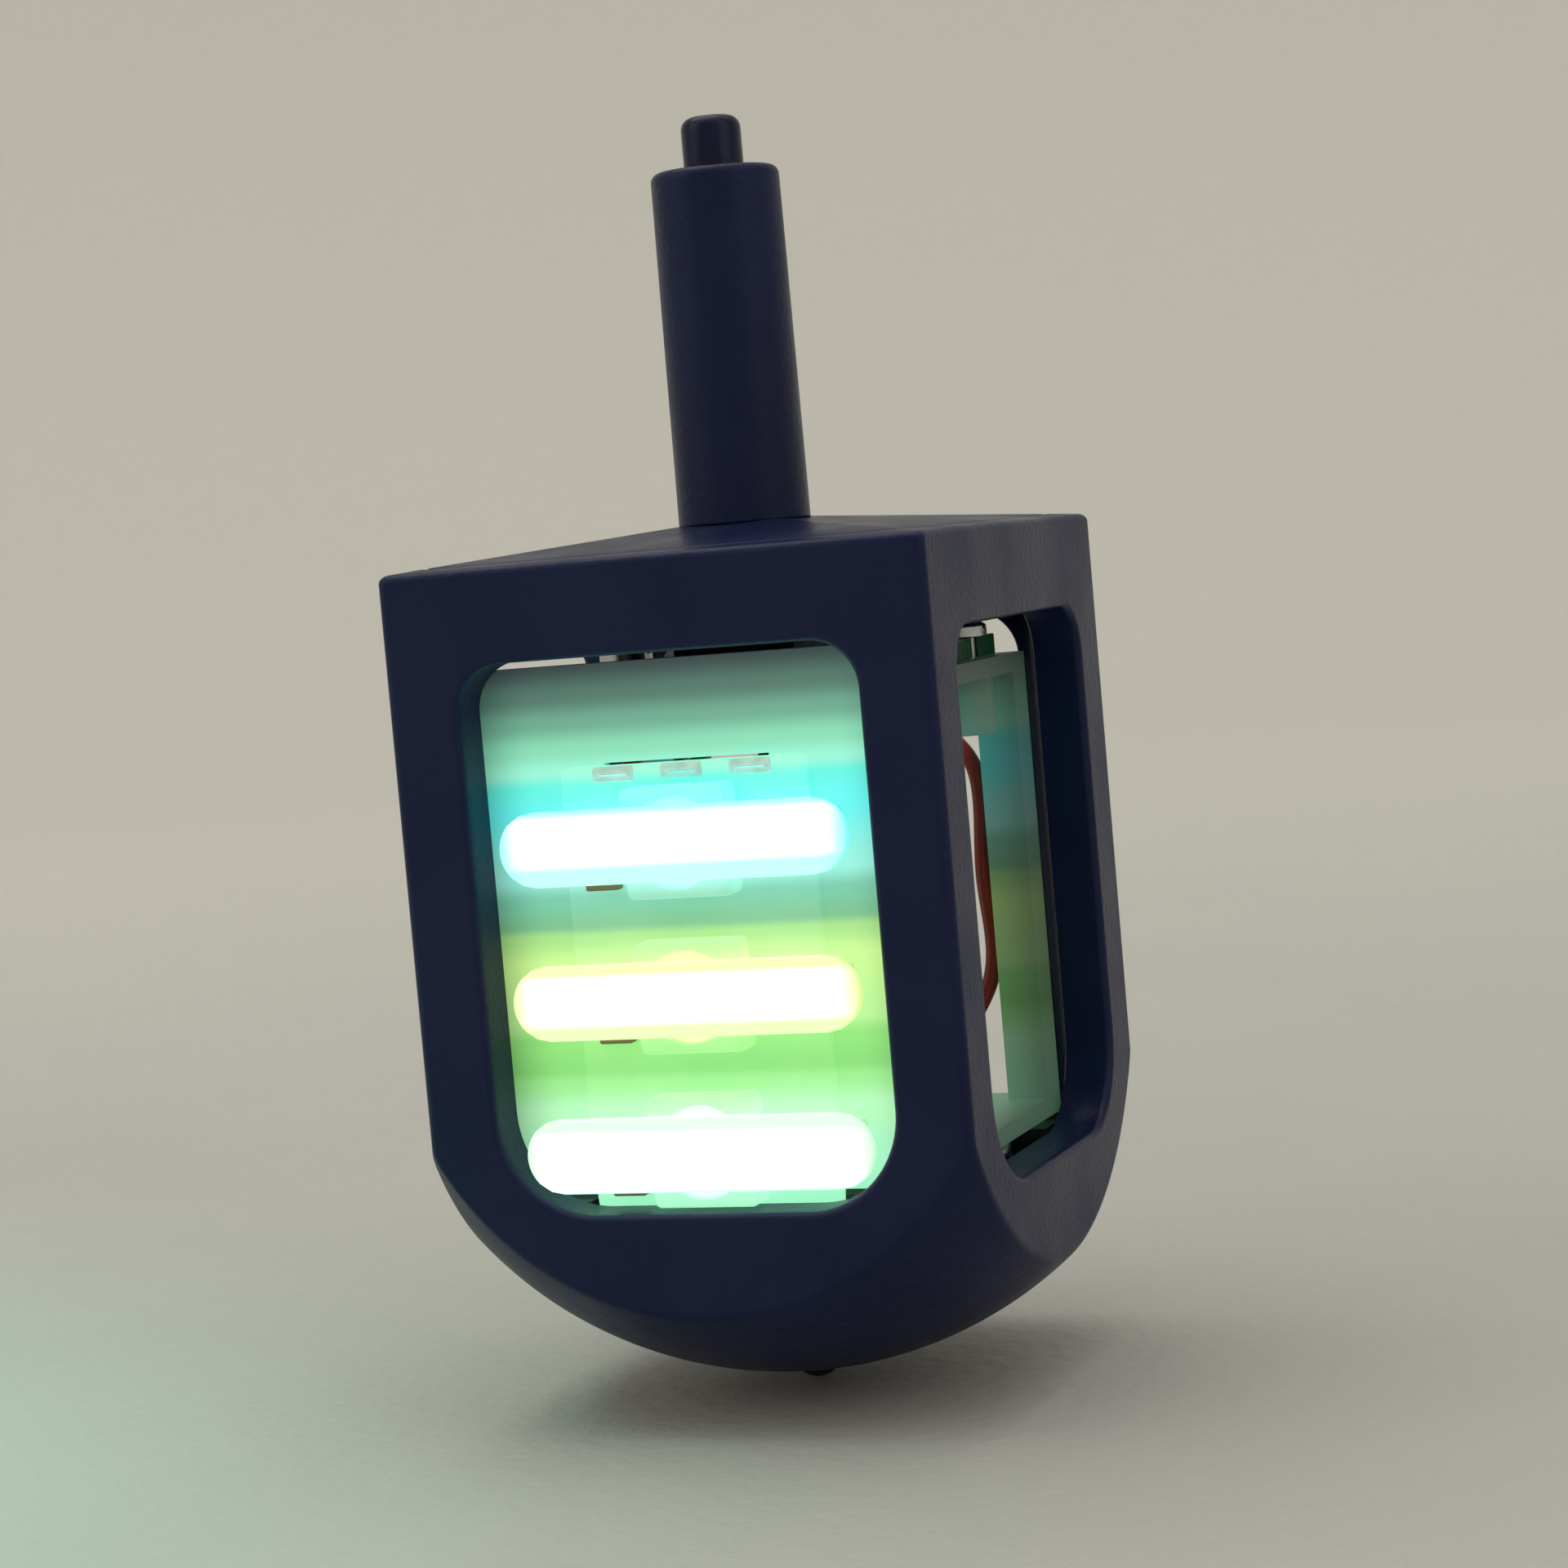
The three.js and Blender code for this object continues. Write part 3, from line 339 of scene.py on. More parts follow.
def fanned(ring, distances, heights):
    """Rows of points in the directions of a ring, each row at its own distances from the axis and heights."""
    direction = ring / np.hypot(*ring.T)[:, None]
    return np.stack([
        at_height(direction * np.broadcast_to(distance, len(ring))[:, None], height)
        for distance, height in zip(distances, heights)])


def rounded_outline(left, right, bottom, top, lower_radius, upper_radius, spread, across, up):
    """Points [x, z] round an upright rectangle with round corners, from the middle of the lower left corner:
    straight lines and quarter circles, even along each of the four parts, moved outwards by spread."""
    corners = (
        (left + lower_radius, bottom + lower_radius, lower_radius),
        (right - lower_radius, bottom + lower_radius, lower_radius),
        (right - upper_radius, top - upper_radius, upper_radius),
        (left + upper_radius, top - upper_radius, upper_radius),
    )
    parts = []
    for k, count in enumerate((across, up, across, up)):
        middle_angle = math.radians(270 + 90 * k)
        eighths = [np.linspace(-45, 0, CORNER_POINTS), np.linspace(0, 45, CORNER_POINTS)]
        angles = middle_angle + np.radians(np.concatenate(eighths))
        centres = np.repeat([corners[k], corners[(k + 1) % 4]], CORNER_POINTS, axis=0)
        facing = np.stack([np.cos(angles), np.sin(angles)], -1)
        line = centres[:, :2] + centres[:, 2:] * facing
        travelled = np.concatenate([[0], np.cumsum(np.hypot(*np.diff(line, axis=0).T))])
        wanted = np.linspace(0, travelled[-1], count + 1)[:-1]
        place = np.stack([np.interp(wanted, travelled, line[:, i]) for i in (0, 1)], -1)
        normal = np.stack([np.interp(wanted, travelled, facing[:, i]) for i in (0, 1)], -1)
        parts.append(place + spread * normal / np.hypot(*normal.T)[:, None])
    return np.concatenate(parts)


def at_depth(outline, depth):
    """An upright outline of [x, z] points put at a depth y."""
    return np.stack([outline[:, 0], np.broadcast_to(depth, len(outline)), outline[:, 1]], -1)


def make_piece(name, grids, material, body, stands_for, sharp=35):
    """A closed mesh from (grid, closed) pairs: neighbouring points make quads, grids weld where their points
    meet, and a row drawn together closes as a fan. Edges sharper than the angle in degrees stay crisp."""
    points, faces, start = [], [], 0
    for grid, closed in grids:
        rows, columns = grid.shape[:2]
        points.append(grid.reshape(-1, 3))
        faces.append(grid_quads(rows, columns, closed) + start)
        start += rows * columns
    mesh = bpy.data.meshes.new(name)
    mesh.from_pydata(np.concatenate(points).tolist(), [], np.concatenate(faces).tolist())
    surface = bmesh.new()
    surface.from_mesh(mesh)
    bmesh.ops.remove_doubles(surface, verts=surface.verts, dist=WELD)
    bmesh.ops.dissolve_degenerate(surface, edges=surface.edges, dist=WELD)
    bmesh.ops.recalc_face_normals(surface, faces=surface.faces)
    surface.to_mesh(mesh)
    surface.free()
    return finish_piece(name, mesh, material, body, stands_for, sharp)


def finish_piece(name, mesh, material, body, stands_for, sharp=35):
    """Shades a mesh smoothly between its crisp edges and puts it in the scene in place of a CAD node."""
    mesh.shade_smooth()
    mesh.set_sharp_from_angle(angle=math.radians(sharp))
    mesh.materials.clear()
    mesh.materials.append(material)
    piece = bpy.data.objects.new(name, mesh)
    bpy.context.scene.collection.objects.link(piece)
    even = piece.modifiers.new("even shading", "WEIGHTED_NORMAL")
    even.keep_sharp = True
    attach(piece, body)
    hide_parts(*stands_for)
    return piece


def drifting(name, scale, deep, pale, roughness, **finish):
    """A material of two close shades that drift together with the mottle mask, which it returns as well."""
    material, tree, shader = new_material(name, roughness, **finish)
    drift = mottled(tree, scale)
    tree.links.new(blended(tree, drift, deep, pale), shader.inputs["Base Color"])
    return material, tree, shader, drift


CLOUD_SCALE, GRAIN_SCALE = 160, 3000
GRAIN_DEPTH = 0.04 * MM


def moulded_plastic(name, deep, pale, roughness, gloss_spread, grain, specular=0.5):
    """Moulded plastic: shades and roughness drift together, over a fine spark-eroded grain."""
    material, tree, shader, drift = drifting(name, CLOUD_SCALE, deep, pale, roughness, specular=specular)
    rough = ranged(tree, drift, 0, 1, roughness - gloss_spread, roughness + gloss_spread)
    tree.links.new(rough, shader.inputs["Roughness"])
    bump_by(tree, shader, mottled(tree, GRAIN_SCALE), grain, GRAIN_DEPTH)
    return material


navy_plastic = moulded_plastic(
    "navy plastic", (0.005, 0.0095, 0.045), (0.007, 0.012, 0.053), 0.34, 0.06, 0.24, specular=0.17)

outline = square_ring(half, EDGE_RADIUS)
outline_reach = np.hypot(*outline.T)
hip = bowl_height(outline_reach, ball)
hip_angle = np.arcsin(outline_reach / ball)
bend_end = hip_angle - EDGE_ROUNDING / ball
hole_radius = tip_radius + PRESS_GAP
hole_angle = math.asin(hole_radius / ball)

base_rows = []
for t in np.linspace(0, 1, EDGE_ROWS):
    # A curve from the wall to the ball, with the sharp hip as its control point.
    distance = (1 - t ** 2) * outline_reach + t ** 2 * ball * np.sin(bend_end)
    lower = ball_centre - ball * np.cos(bend_end)
    height = (1 - t) ** 2 * (hip + EDGE_ROUNDING) + 2 * t * (1 - t) * hip + t ** 2 * lower
    base_rows.append((distance, height))
for t in np.linspace(0, 1, BALL_ROWS)[1:]:
    angle = bend_end + (hole_angle - bend_end) * t
    base_rows.append((ball * np.sin(angle), ball_centre - ball * np.cos(angle)))
base_rows += [(hole_radius, tip_top), (POLE_RADIUS, tip_top), (0, tip_top)]
shell_base = fanned(outline, *zip(*base_rows))

boss_top = tip_top + TIP_BOSS_ROOF
inner_ring = square_ring(cavity, CAVITY_CORNER)
inner_reach = np.hypot(*inner_ring.T)
floor_angle = np.arcsin(inner_reach / inner_ball)
boss_angle = math.asin(TIP_BOSS_RADIUS / inner_ball)
bowl_rows = [(0, boss_top), (POLE_RADIUS, boss_top), (TIP_BOSS_RADIUS - EDGE_ROUNDING, boss_top)]
bowl_rows += [(TIP_BOSS_RADIUS, boss_top - EDGE_ROUNDING)]
for t in np.linspace(0, 1, BOWL_ROWS):
    angle = boss_angle + (floor_angle - boss_angle) * t
    bowl_rows.append((inner_ball * np.sin(angle), ball_centre - inner_ball * np.cos(angle)))
shell_bowl = fanned(inner_ring, *zip(*bowl_rows))

wall_top = top_edge - EDGE_ROUNDING
rim_rows = []
for t in np.linspace(0, math.pi / 2, EDGE_ROWS):
    inset = EDGE_ROUNDING * (1 - math.cos(t))
    ring = square_ring(half - inset, EDGE_RADIUS)
    lift = wall_top + EDGE_ROUNDING * math.sin(t) + roof_slope * inset
    rim_rows.append(at_height(ring, lift))
for inset in (INNER_ROUNDING, 0):
    ring = square_ring(pocket + inset, CAVITY_CORNER)
    drop = INNER_ROUNDING - inset
    rim_rows.append(at_height(ring, roof_height(ring) - drop))
rim_rows.append(at_height(square_ring(pocket, CAVITY_CORNER), ledge))
rim_rows.append(at_height(inner_ring, ledge))
shell_rim = np.stack(rim_rows)


def side_border(reach, radius, lowest, highest):
    """The border of one flat side, in step with a window outline: along its bottom, up its right, back along
    its top and down its left. Lowest has one height for each point of the bottom."""
    edge = reach - radius
    along = np.linspace(-edge, edge, SIDE_STEPS + 1)
    rise = np.linspace(0, 1, HEIGHT_STEPS + 1)[:-1]
    bottom = np.stack([along[:-1], lowest[:-1]], -1)
    right = np.stack([np.full(HEIGHT_STEPS, edge), lowest[-1] + (highest - lowest[-1]) * rise], -1)
    over = np.stack([along[:0:-1], np.full(SIDE_STEPS, highest)], -1)
    left = np.stack([np.full(HEIGHT_STEPS, -edge), highest + (lowest[0] - highest) * rise], -1)
    return at_depth(np.concatenate([bottom, right, over, left]), -reach)


def window_ring(spread, depth):
    """The window's outline moved outwards by spread, at a depth."""
    return at_depth(rounded_outline(
        -window_half, window_half, WINDOW_BOTTOM, window_top, WINDOW_LOWER_RADIUS, WINDOW_UPPER_RADIUS,
        spread, SIDE_STEPS, HEIGHT_STEPS), depth)


front_wall = [side_border(half, EDGE_RADIUS, shell_base[0, :SIDE_STEPS + 1, 2], wall_top)]
for t in np.linspace(0, math.pi / 2, WINDOW_EDGE_ROWS):
    sink = EDGE_ROUNDING * (1 - math.cos(t))
    front_wall.append(window_ring(EDGE_ROUNDING * (1 - math.sin(t)), -half + sink))
for depth in np.linspace(-half + EDGE_ROUNDING, -cavity - INNER_ROUNDING, REVEAL_ROWS)[1:]:
    front_wall.append(window_ring(0, depth))
front_wall.append(window_ring(INNER_ROUNDING, -cavity))
front_wall.append(side_border(cavity, CAVITY_CORNER, shell_bowl[-1, :SIDE_STEPS + 1, 2], ledge))
front_wall = np.stack(front_wall)


def corner_strip(ring, lowest, highest):
    """The round upright corner between two sides: the ring's corner points from their lowest heights up."""
    columns = slice(SIDE_STEPS, SIDE_STEPS + CORNER_STEPS + 1)
    rise = np.linspace(0, 1, HEIGHT_STEPS + 1)[:, None]
    height = lowest[columns] + (highest - lowest[columns]) * rise
    place = np.repeat(ring[None, columns], HEIGHT_STEPS + 1, axis=0)
    return np.concatenate([place, height[..., None]], -1)


outer_corner = corner_strip(outline, shell_base[0, :, 2], wall_top)
inner_corner = corner_strip(inner_ring, shell_bowl[-1, :, 2], ledge)
shell_grids = [(shell_base, True), (shell_bowl, True), (shell_rim, True)]
for quarter in range(4):
    shell_grids.append((quarter_turned(front_wall, quarter), True))
    shell_grids.append((quarter_turned(outer_corner, quarter), False))
    shell_grids.append((quarter_turned(inner_corner, quarter), False))
make_piece("shell", shell_grids, navy_plastic, "housing", ["body_shell"])


# ---- Tip ----
# A small black nylon pin with a round nose, pressed into the shell's base. The top spins on it.
TIP_ROUNDING = 0.2 * MM
NOSE_ROWS = 14
# The most of a side that an arc may take.
ARC_SHARE = 0.49


def rounded_path(corners, radii, steps=6):
    """A profile through its corners, where each corner with a radius becomes an arc tangent to both sides."""
    corners = [np.asarray(corner, float) for corner in corners]
    path = [corners[0]]
    for before, corner, after, radius in zip(corners, corners[1:], corners[2:], radii):
        first, second = (before - corner), (after - corner)
        first_length, second_length = np.hypot(*first), np.hypot(*second)
        first, second = first / first_length, second / second_length
        half_angle = math.acos(np.clip(first @ second, -1, 1)) / 2
        radius = min(radius, ARC_SHARE * min(first_length, second_length) * math.tan(half_angle))
        if radius <= 0:
            path.append(corner)
            continue
        bisector = (first + second) / np.hypot(*(first + second))
        centre = corner + bisector * radius / math.sin(half_angle)
        start = corner + first * radius / math.tan(half_angle) - centre
        end = corner + second * radius / math.tan(half_angle) - centre
        sweep_angle = math.acos(np.clip(start @ end / radius ** 2, -1, 1))
        for t in np.linspace(0, 1, steps + 1):
            share = (math.sin((1 - t) * sweep_angle) * start + math.sin(t * sweep_angle) * end)
            path.append(centre + share / math.sin(sweep_angle))
    path.append(corners[-1])
    return np.array(path)


black_plastic = moulded_plastic(
    "black plastic", (0.006, 0.006, 0.007), (0.011, 0.011, 0.012), 0.36, 0.06, 0.12)

nose = np.linspace(-math.pi / 2, 0, NOSE_ROWS)
tip_profile = np.concatenate([
    np.stack([tip_radius * np.cos(nose), tip_radius * (1 + np.sin(nose))], -1),
    rounded_path([(tip_radius, 2 * tip_radius), (tip_radius, tip_top), (0, tip_top)], [TIP_ROUNDING])[1:],
])
tip_profile[0, 0] = 0
make_piece("tip", [(turned(tip_profile, 64), True)], black_plastic, "housing", ["pivot_tip"])


# ---- Cover ----
# The lid of the same navy plastic drops into the pocket in the top of the shell. Its upper face carries the
# roof's four shallow slopes on to the stem, and a skirt below it keeps it square in the shell.
COVER_EDGE_ROUNDING = 0.15 * MM
SKIRT_WALL = 1.2 * MM
SEAT_GAP = 0.02 * MM
SPIGOT_RADIUS = 2.5 * MM
ROOF_ROWS = 10

plate_foot = ledge + SEAT_GAP
skirt_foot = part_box("top_cover")[0].z
skirt_half = cavity - POCKET_GAP
stem_foot = top_edge + ROOF_RISE
seat = stem_foot - SEAT_GAP
hole = SPIGOT_RADIUS + PRESS_GAP
seat_radius = stem_radius + PRESS_GAP

plate_ring = square_ring(plate_half, CAVITY_CORNER)
roof_rows = []
inset_ring = square_ring(plate_half - COVER_EDGE_ROUNDING, CAVITY_CORNER - COVER_EDGE_ROUNDING)
inset_reach = np.hypot(*inset_ring.T)
for t in np.linspace(0, 1, ROOF_ROWS):
    row = fanned(inset_ring, [seat_radius + (inset_reach - seat_radius) * t], [0])[0]
    row[:, 2] = roof_height(row)
    roof_rows.append(row)
for t in np.linspace(0, math.pi / 2, EDGE_ROWS)[1:]:
    inset = COVER_EDGE_ROUNDING * (1 - math.sin(t))
    ring = square_ring(plate_half - inset, CAVITY_CORNER - inset)
    sink = COVER_EDGE_ROUNDING * (1 - math.cos(t))
    roof_rows.append(at_height(ring, roof_height(ring) - sink))
under_rows = [at_height(square_ring(reach, CAVITY_CORNER), height) for reach, height in (
    (plate_half, plate_foot + COVER_EDGE_ROUNDING),
    (plate_half - COVER_EDGE_ROUNDING, plate_foot),
    (skirt_half, plate_foot),
    (skirt_half, skirt_foot + COVER_EDGE_ROUNDING),
    (skirt_half - COVER_EDGE_ROUNDING, skirt_foot),
    (skirt_half - SKIRT_WALL, skirt_foot),
    (skirt_half - SKIRT_WALL, plate_foot),
)]
bore_rows = fanned(plate_ring, [hole, hole, seat_radius], [plate_foot, seat, seat])
cover_grid = np.stack([*bore_rows, *roof_rows, *under_rows, bore_rows[0]])
make_piece("cover", [(cover_grid, True)], navy_plastic, "cover", ["top_cover"])


# ---- Stem and push pin ----
# The round finger stem tapers a little towards its top and is glued into the cover by a spigot. The push
# pin stands out of it: it slides in the bore, held in by its flange, and its rod reaches to the switch.
STEM_TOP_RADIUS = 3.0 * MM
STEM_BORE_RADIUS = 2.0 * MM
STEM_CAP = 1.5 * MM
SPIGOT_ROUNDING, SHOULDER_ROUNDING, STEM_ROUNDING = 0.1 * MM, 0.12 * MM, 0.45 * MM
PIN_RADIUS = 1.4 * MM
PIN_GAP = 0.1 * MM
FLANGE_HEIGHT = 1 * MM
ROD_RADIUS = 1 * MM
ROD_ROUNDING, FLANGE_ROUNDING, PIN_ROUNDING = 0.15 * MM, 0.1 * MM, 0.6 * MM

stem_low, stem_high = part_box("stem")
pin_low, pin_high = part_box("button_pin")
pin_hole = PIN_RADIUS + PIN_GAP
cap_foot = stem_high.z - STEM_CAP
stem_profile = rounded_path(
    [(STEM_BORE_RADIUS, stem_low.z), (SPIGOT_RADIUS, stem_low.z), (SPIGOT_RADIUS, stem_foot),
     (stem_radius, stem_foot), (STEM_TOP_RADIUS, stem_high.z), (pin_hole, stem_high.z),
     (pin_hole, cap_foot), (STEM_BORE_RADIUS, cap_foot), (STEM_BORE_RADIUS, stem_low.z)],
    [SPIGOT_ROUNDING, 0, SHOULDER_ROUNDING, STEM_ROUNDING, SHOULDER_ROUNDING, 0, 0, 0])
make_piece(
    "finger_stem", [(turned(stem_profile, 128), True)], navy_plastic, "cover", ["stem"])

flange_top = cap_foot - PIN_GAP
flange_radius = pin_high.x
pin_profile = rounded_path(
    [(0, pin_low.z), (ROD_RADIUS, pin_low.z), (ROD_RADIUS, flange_top - FLANGE_HEIGHT),
     (flange_radius, flange_top - FLANGE_HEIGHT), (flange_radius, flange_top), (PIN_RADIUS, flange_top),
     (PIN_RADIUS, pin_high.z), (0, pin_high.z)],
    [ROD_ROUNDING, FLANGE_ROUNDING, FLANGE_ROUNDING, FLANGE_ROUNDING, 0, PIN_ROUNDING], steps=8)
pin_plastic = moulded_plastic(
    "pin plastic", (0.004, 0.006, 0.028), (0.006, 0.008, 0.034), 0.24, 0.04, 0.10, specular=0.2)
make_piece(
    "push_pin", [(turned(pin_profile, 96), True)], pin_plastic, "button", ["button_pin"])


# ---- Light column ----
# A flexible strip with three square lights is stuck to the front of the carrier. In front of each light a
# milky bar stands across the window and spreads its light; the strip and the carrier glow in its colours.
LIGHTS = {"top": "light_cyan", "middle": "light_lime", "bottom": "light_mint"}
COLUMN_STRENGTH = 0.9
SIDE_FADE_FROM, SIDE_FADE_TO, SIDE_GLOW = 7.2 * MM, 11.5 * MM, 0.25
DEPTH_FADE_FROM, DEPTH_FADE_TO = -9.9 * MM, -8.9 * MM
GLOW_LOW, GLOW_HIGH = 9 * MM, 36.5 * MM
# Heights in millimetres, each with the colour of the light there.
GLOW_BANDS = (
    (10.0, (0.32, 0.95, 0.55)),
    (12.5, (0.42, 1.00, 0.62)),
    (14.7, (0.50, 1.05, 0.55)),
    (16.0, (0.36, 0.92, 0.29)),
    (16.6, (0.26, 0.78, 0.19)),
    (17.9, (0.30, 0.85, 0.20)),
    (18.8, (0.55, 1.00, 0.35)),
    (21.4, (0.66, 1.05, 0.32)),
    (22.7, (0.42, 0.83, 0.26)),
    (23.2, (0.20, 0.56, 0.28)),
    (24.4, (0.19, 0.62, 0.42)),
    (25.4, (0.35, 0.95, 0.80)),
    (28.4, (0.12, 1.00, 0.95)),
    (29.5, (0.12, 0.98, 0.82)),
    (30.2, (0.34, 1.00, 0.72)),
    (31.2, (0.26, 0.78, 0.50)),
    (32.4, (0.15, 0.42, 0.29)),
    (33.6, (0.075, 0.18, 0.14)),
    (35.0, (0.025, 0.045, 0.05)),
)


def object_axes(tree):
    """The X, Y and Z of the Object coordinates."""
    return place_node(tree, "SeparateXYZ", {"Vector": object_place(tree)}).outputs


def aside(tree, axes):
    """The distance to the left or right of the axis, |x|."""
    return place_node(tree, "Math", {0: axes["X"]}, operation="ABSOLUTE").outputs["Value"]


def banded(tree, value, bands):
    """A colour that follows a value through (place, colour) stops, with an eased run between neighbours."""
    node = place_node(tree, "ValToRGB", {"Fac": value})
    node.color_ramp.interpolation = "EASE"
    stops = node.color_ramp.elements
    while len(stops) < len(bands):
        stops.new(0.5)
    for stop, (place, colour) in zip(stops, bands):
        stop.position = place
        stop.color = (*colour, 1)
    return node.outputs["Color"]


def glow_group():
    """The light on the surfaces behind the bars: bands of colour by height, times two smoothstep fades, one
    towards the sides of the window and one from its near faces to the Behind share further back."""
    group, inputs, outputs = open_group("light glow", "Behind", "Glow", "Color")
    axes = object_axes(group)
    bands = banded(group, ranged(group, axes["Z"], GLOW_LOW, GLOW_HIGH), [
        ((level_mm * MM - GLOW_LOW) / (GLOW_HIGH - GLOW_LOW), colour) for level_mm, colour in GLOW_BANDS])
    fade = ranged(group, aside(group, axes), SIDE_FADE_FROM, SIDE_FADE_TO, 1, SIDE_GLOW, "SMOOTHSTEP")
    front = ranged(
        group, axes["Y"], DEPTH_FADE_FROM, DEPTH_FADE_TO, 1, inputs.outputs["Behind"], "SMOOTHSTEP")
    amount = place_node(group, "Math", {0: fade, 1: front}, operation="MULTIPLY").outputs["Value"]
    group.links.new(blended(group, amount, (0, 0, 0), bands), outputs.inputs["Glow"])
    return group


light_glow = glow_group()


def glowing(material, behind, strength):
    """Lets a material shine with the glow of the light column."""
    tree = material.node_tree
    glow = place_node(tree, "Group", {"Behind": behind}, node_tree=light_glow)
    shader = tree.nodes["Principled BSDF"]
    tree.links.new(glow.outputs["Glow"], shader.inputs["Emission Color"])
    shader.inputs["Emission Strength"].default_value = strength


def backlit(name, scale, deep, pale, roughness, behind):
    """A white surface in the painted glow of the light column, in two close, drifting greys of painted shade.
    """
    material = drifting(name, scale, deep, pale, roughness)[0]
    glowing(material, behind, COLUMN_STRENGTH)
    return material


PAD_ACROSS, PAD_UP, CROWN_ROWS = 24, 12, 6


def raised_pad(low, high, corner, rounding, crown=0.0):
    """A block from its lower to its upper corner, seen from the front as a rectangle with round corners:
    rings from the middle of its back, round its edges, to the middle of its front. Crown bulges the front."""
    (left, front, bottom), (right, rear, top) = low, high
    reach = min(right - left, top - bottom) / 2

    def ring(inset, depth):
        radius = max(corner - inset, 0)
        return at_depth(rounded_outline(
            left + inset, right - inset, bottom + inset, top - inset, radius, radius,
            0, PAD_ACROSS, PAD_UP), depth)

    rows = [ring(reach, rear), ring(rounding, rear)]
    rows += [ring(0, rear - rounding), ring(0, front + crown + rounding)]
    for t in np.linspace(0, math.pi / 2, EDGE_ROWS)[1:]:
        rows.append(ring(rounding * (1 - math.cos(t)), front + crown + rounding * (1 - math.sin(t))))
    for t in np.linspace(0, math.pi / 2, CROWN_ROWS + 1)[1:]:
        rows.append(ring(rounding + (reach - rounding) * math.sin(t), front + crown * math.cos(t)))
    return np.stack(rows)


STRIP_CORNER, STRIP_ROUNDING = 0.5 * MM, 0.04 * MM
# The strip film, drawn in greys of painted shade, with the column's light painted on as glow.
strip_film = backlit("strip film", 420, (0.10, 0.12, 0.11), (0.13, 0.15, 0.14), 0.42, 0.3)
strip_low, strip_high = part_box("led_strip")
make_piece(
    "light_strip", [(raised_pad(strip_low, strip_high, STRIP_CORNER, STRIP_ROUNDING), True)],
    strip_film, "housing", ["led_strip"])

# Each light is a white square package with a round cup, filled with a clear resin lens that glows.
LENS_RADIUS, LENS_CROWN = 2.05 * MM, 0.15 * MM
LENS_FOOT_SHARE, LENS_SIDE_SHARE, LENS_ROWS = 0.75, 0.6, 8
CUP_RADIUS, CUP_FLOOR_RADIUS = 2.1 * MM, 1.9 * MM
CUP_EDGE, CUP_MIDDLE = 0.04 * MM, 0.3 * MM
PACKAGE_CORNER, PACKAGE_ROUNDING = 0.3 * MM, 0.12 * MM
# The packages' white, drawn in greys of painted shade, with the column's light painted on as glow.
led_white = backlit("package white", 600, (0.26, 0.28, 0.27), (0.32, 0.34, 0.32), 0.3, 0.3)


def package_grid(low, high, cup_depth):
    """A square package as raised_pad has it, whose front runs in to a round cup: rim, sloping wall, floor."""
    body = raised_pad(low, high, PACKAGE_CORNER, PACKAGE_ROUNDING)[:-CROWN_ROWS]
    centre = np.array([(low[0] + high[0]) / 2, (low[2] + high[2]) / 2])
    facing = body[1][:, [0, 2]] - centre
    facing = facing / np.hypot(*facing.T)[:, None]
    front, floor = low[1], low[1] + cup_depth
    cup = [(CUP_RADIUS + CUP_EDGE, front), (CUP_RADIUS, front + CUP_EDGE),
           (CUP_FLOOR_RADIUS, floor), (CUP_MIDDLE, floor), (0, floor)]
    rows = [at_depth(centre + radius * facing, depth) for radius, depth in cup]
    return np.concatenate([body, np.stack(rows)])


def lens_grid(low, high, crown):
    """A round lens facing forward: a turned profile with a gently domed front, laid down along Y."""
    thickness = high[1] - low[1]
    dome = np.linspace(0, math.pi / 2, LENS_ROWS)[::-1]
    profile = [(0, 0), (LENS_RADIUS * LENS_FOOT_SHARE, 0), (LENS_RADIUS, thickness * LENS_SIDE_SHARE)]
    profile += [(LENS_RADIUS * math.sin(t), thickness - crown + crown * math.cos(t)) for t in dome]
    x, y, z = np.moveaxis(turned(profile, 48), -1, 0)
    centre_x, centre_z = (low[0] + high[0]) / 2, (low[2] + high[2]) / 2
    return np.stack([centre_x + x, high[1] - z, centre_z + y], -1)


# For each bar: the colours of its upper and lower edges, and the shares of its height where the white begins
# and ends.
BAR_COLOURS = {
    "top": ((0.12, 1.0, 0.95), (0.28, 0.92, 0.72), 0.34, 0.84),
    "middle": ((0.62, 1.0, 0.20), (0.60, 1.0, 0.26), 0.28, 0.76),
    "bottom": ((0.50, 1.0, 0.56), (0.55, 1.0, 0.85), 0.14, 0.72),
}
BAR_CORE = (1.25, 1.3, 1.25)
BAR_STRENGTH = 1.0
BAR_FADE = 0.14
BAR_ROUNDING, BAR_CROWN = 0.12 * MM, 0.35 * MM
RESIN_COLOUR = (0.6, 0.65, 0.62, 1)
END_FADE = 1.5 * MM
LEG_ASIDE, LEG_WIDTH, LEG_HALF_HEIGHT = 0.3 * MM, 1 * MM, 1.1 * MM
LEG_CORNER, LEG_ROUNDING, LEG_GAP = 0.2 * MM, 0.05 * MM, 0.01 * MM
LEG_FADE, LEG_GLOW = 0.5 * MM, 0.45


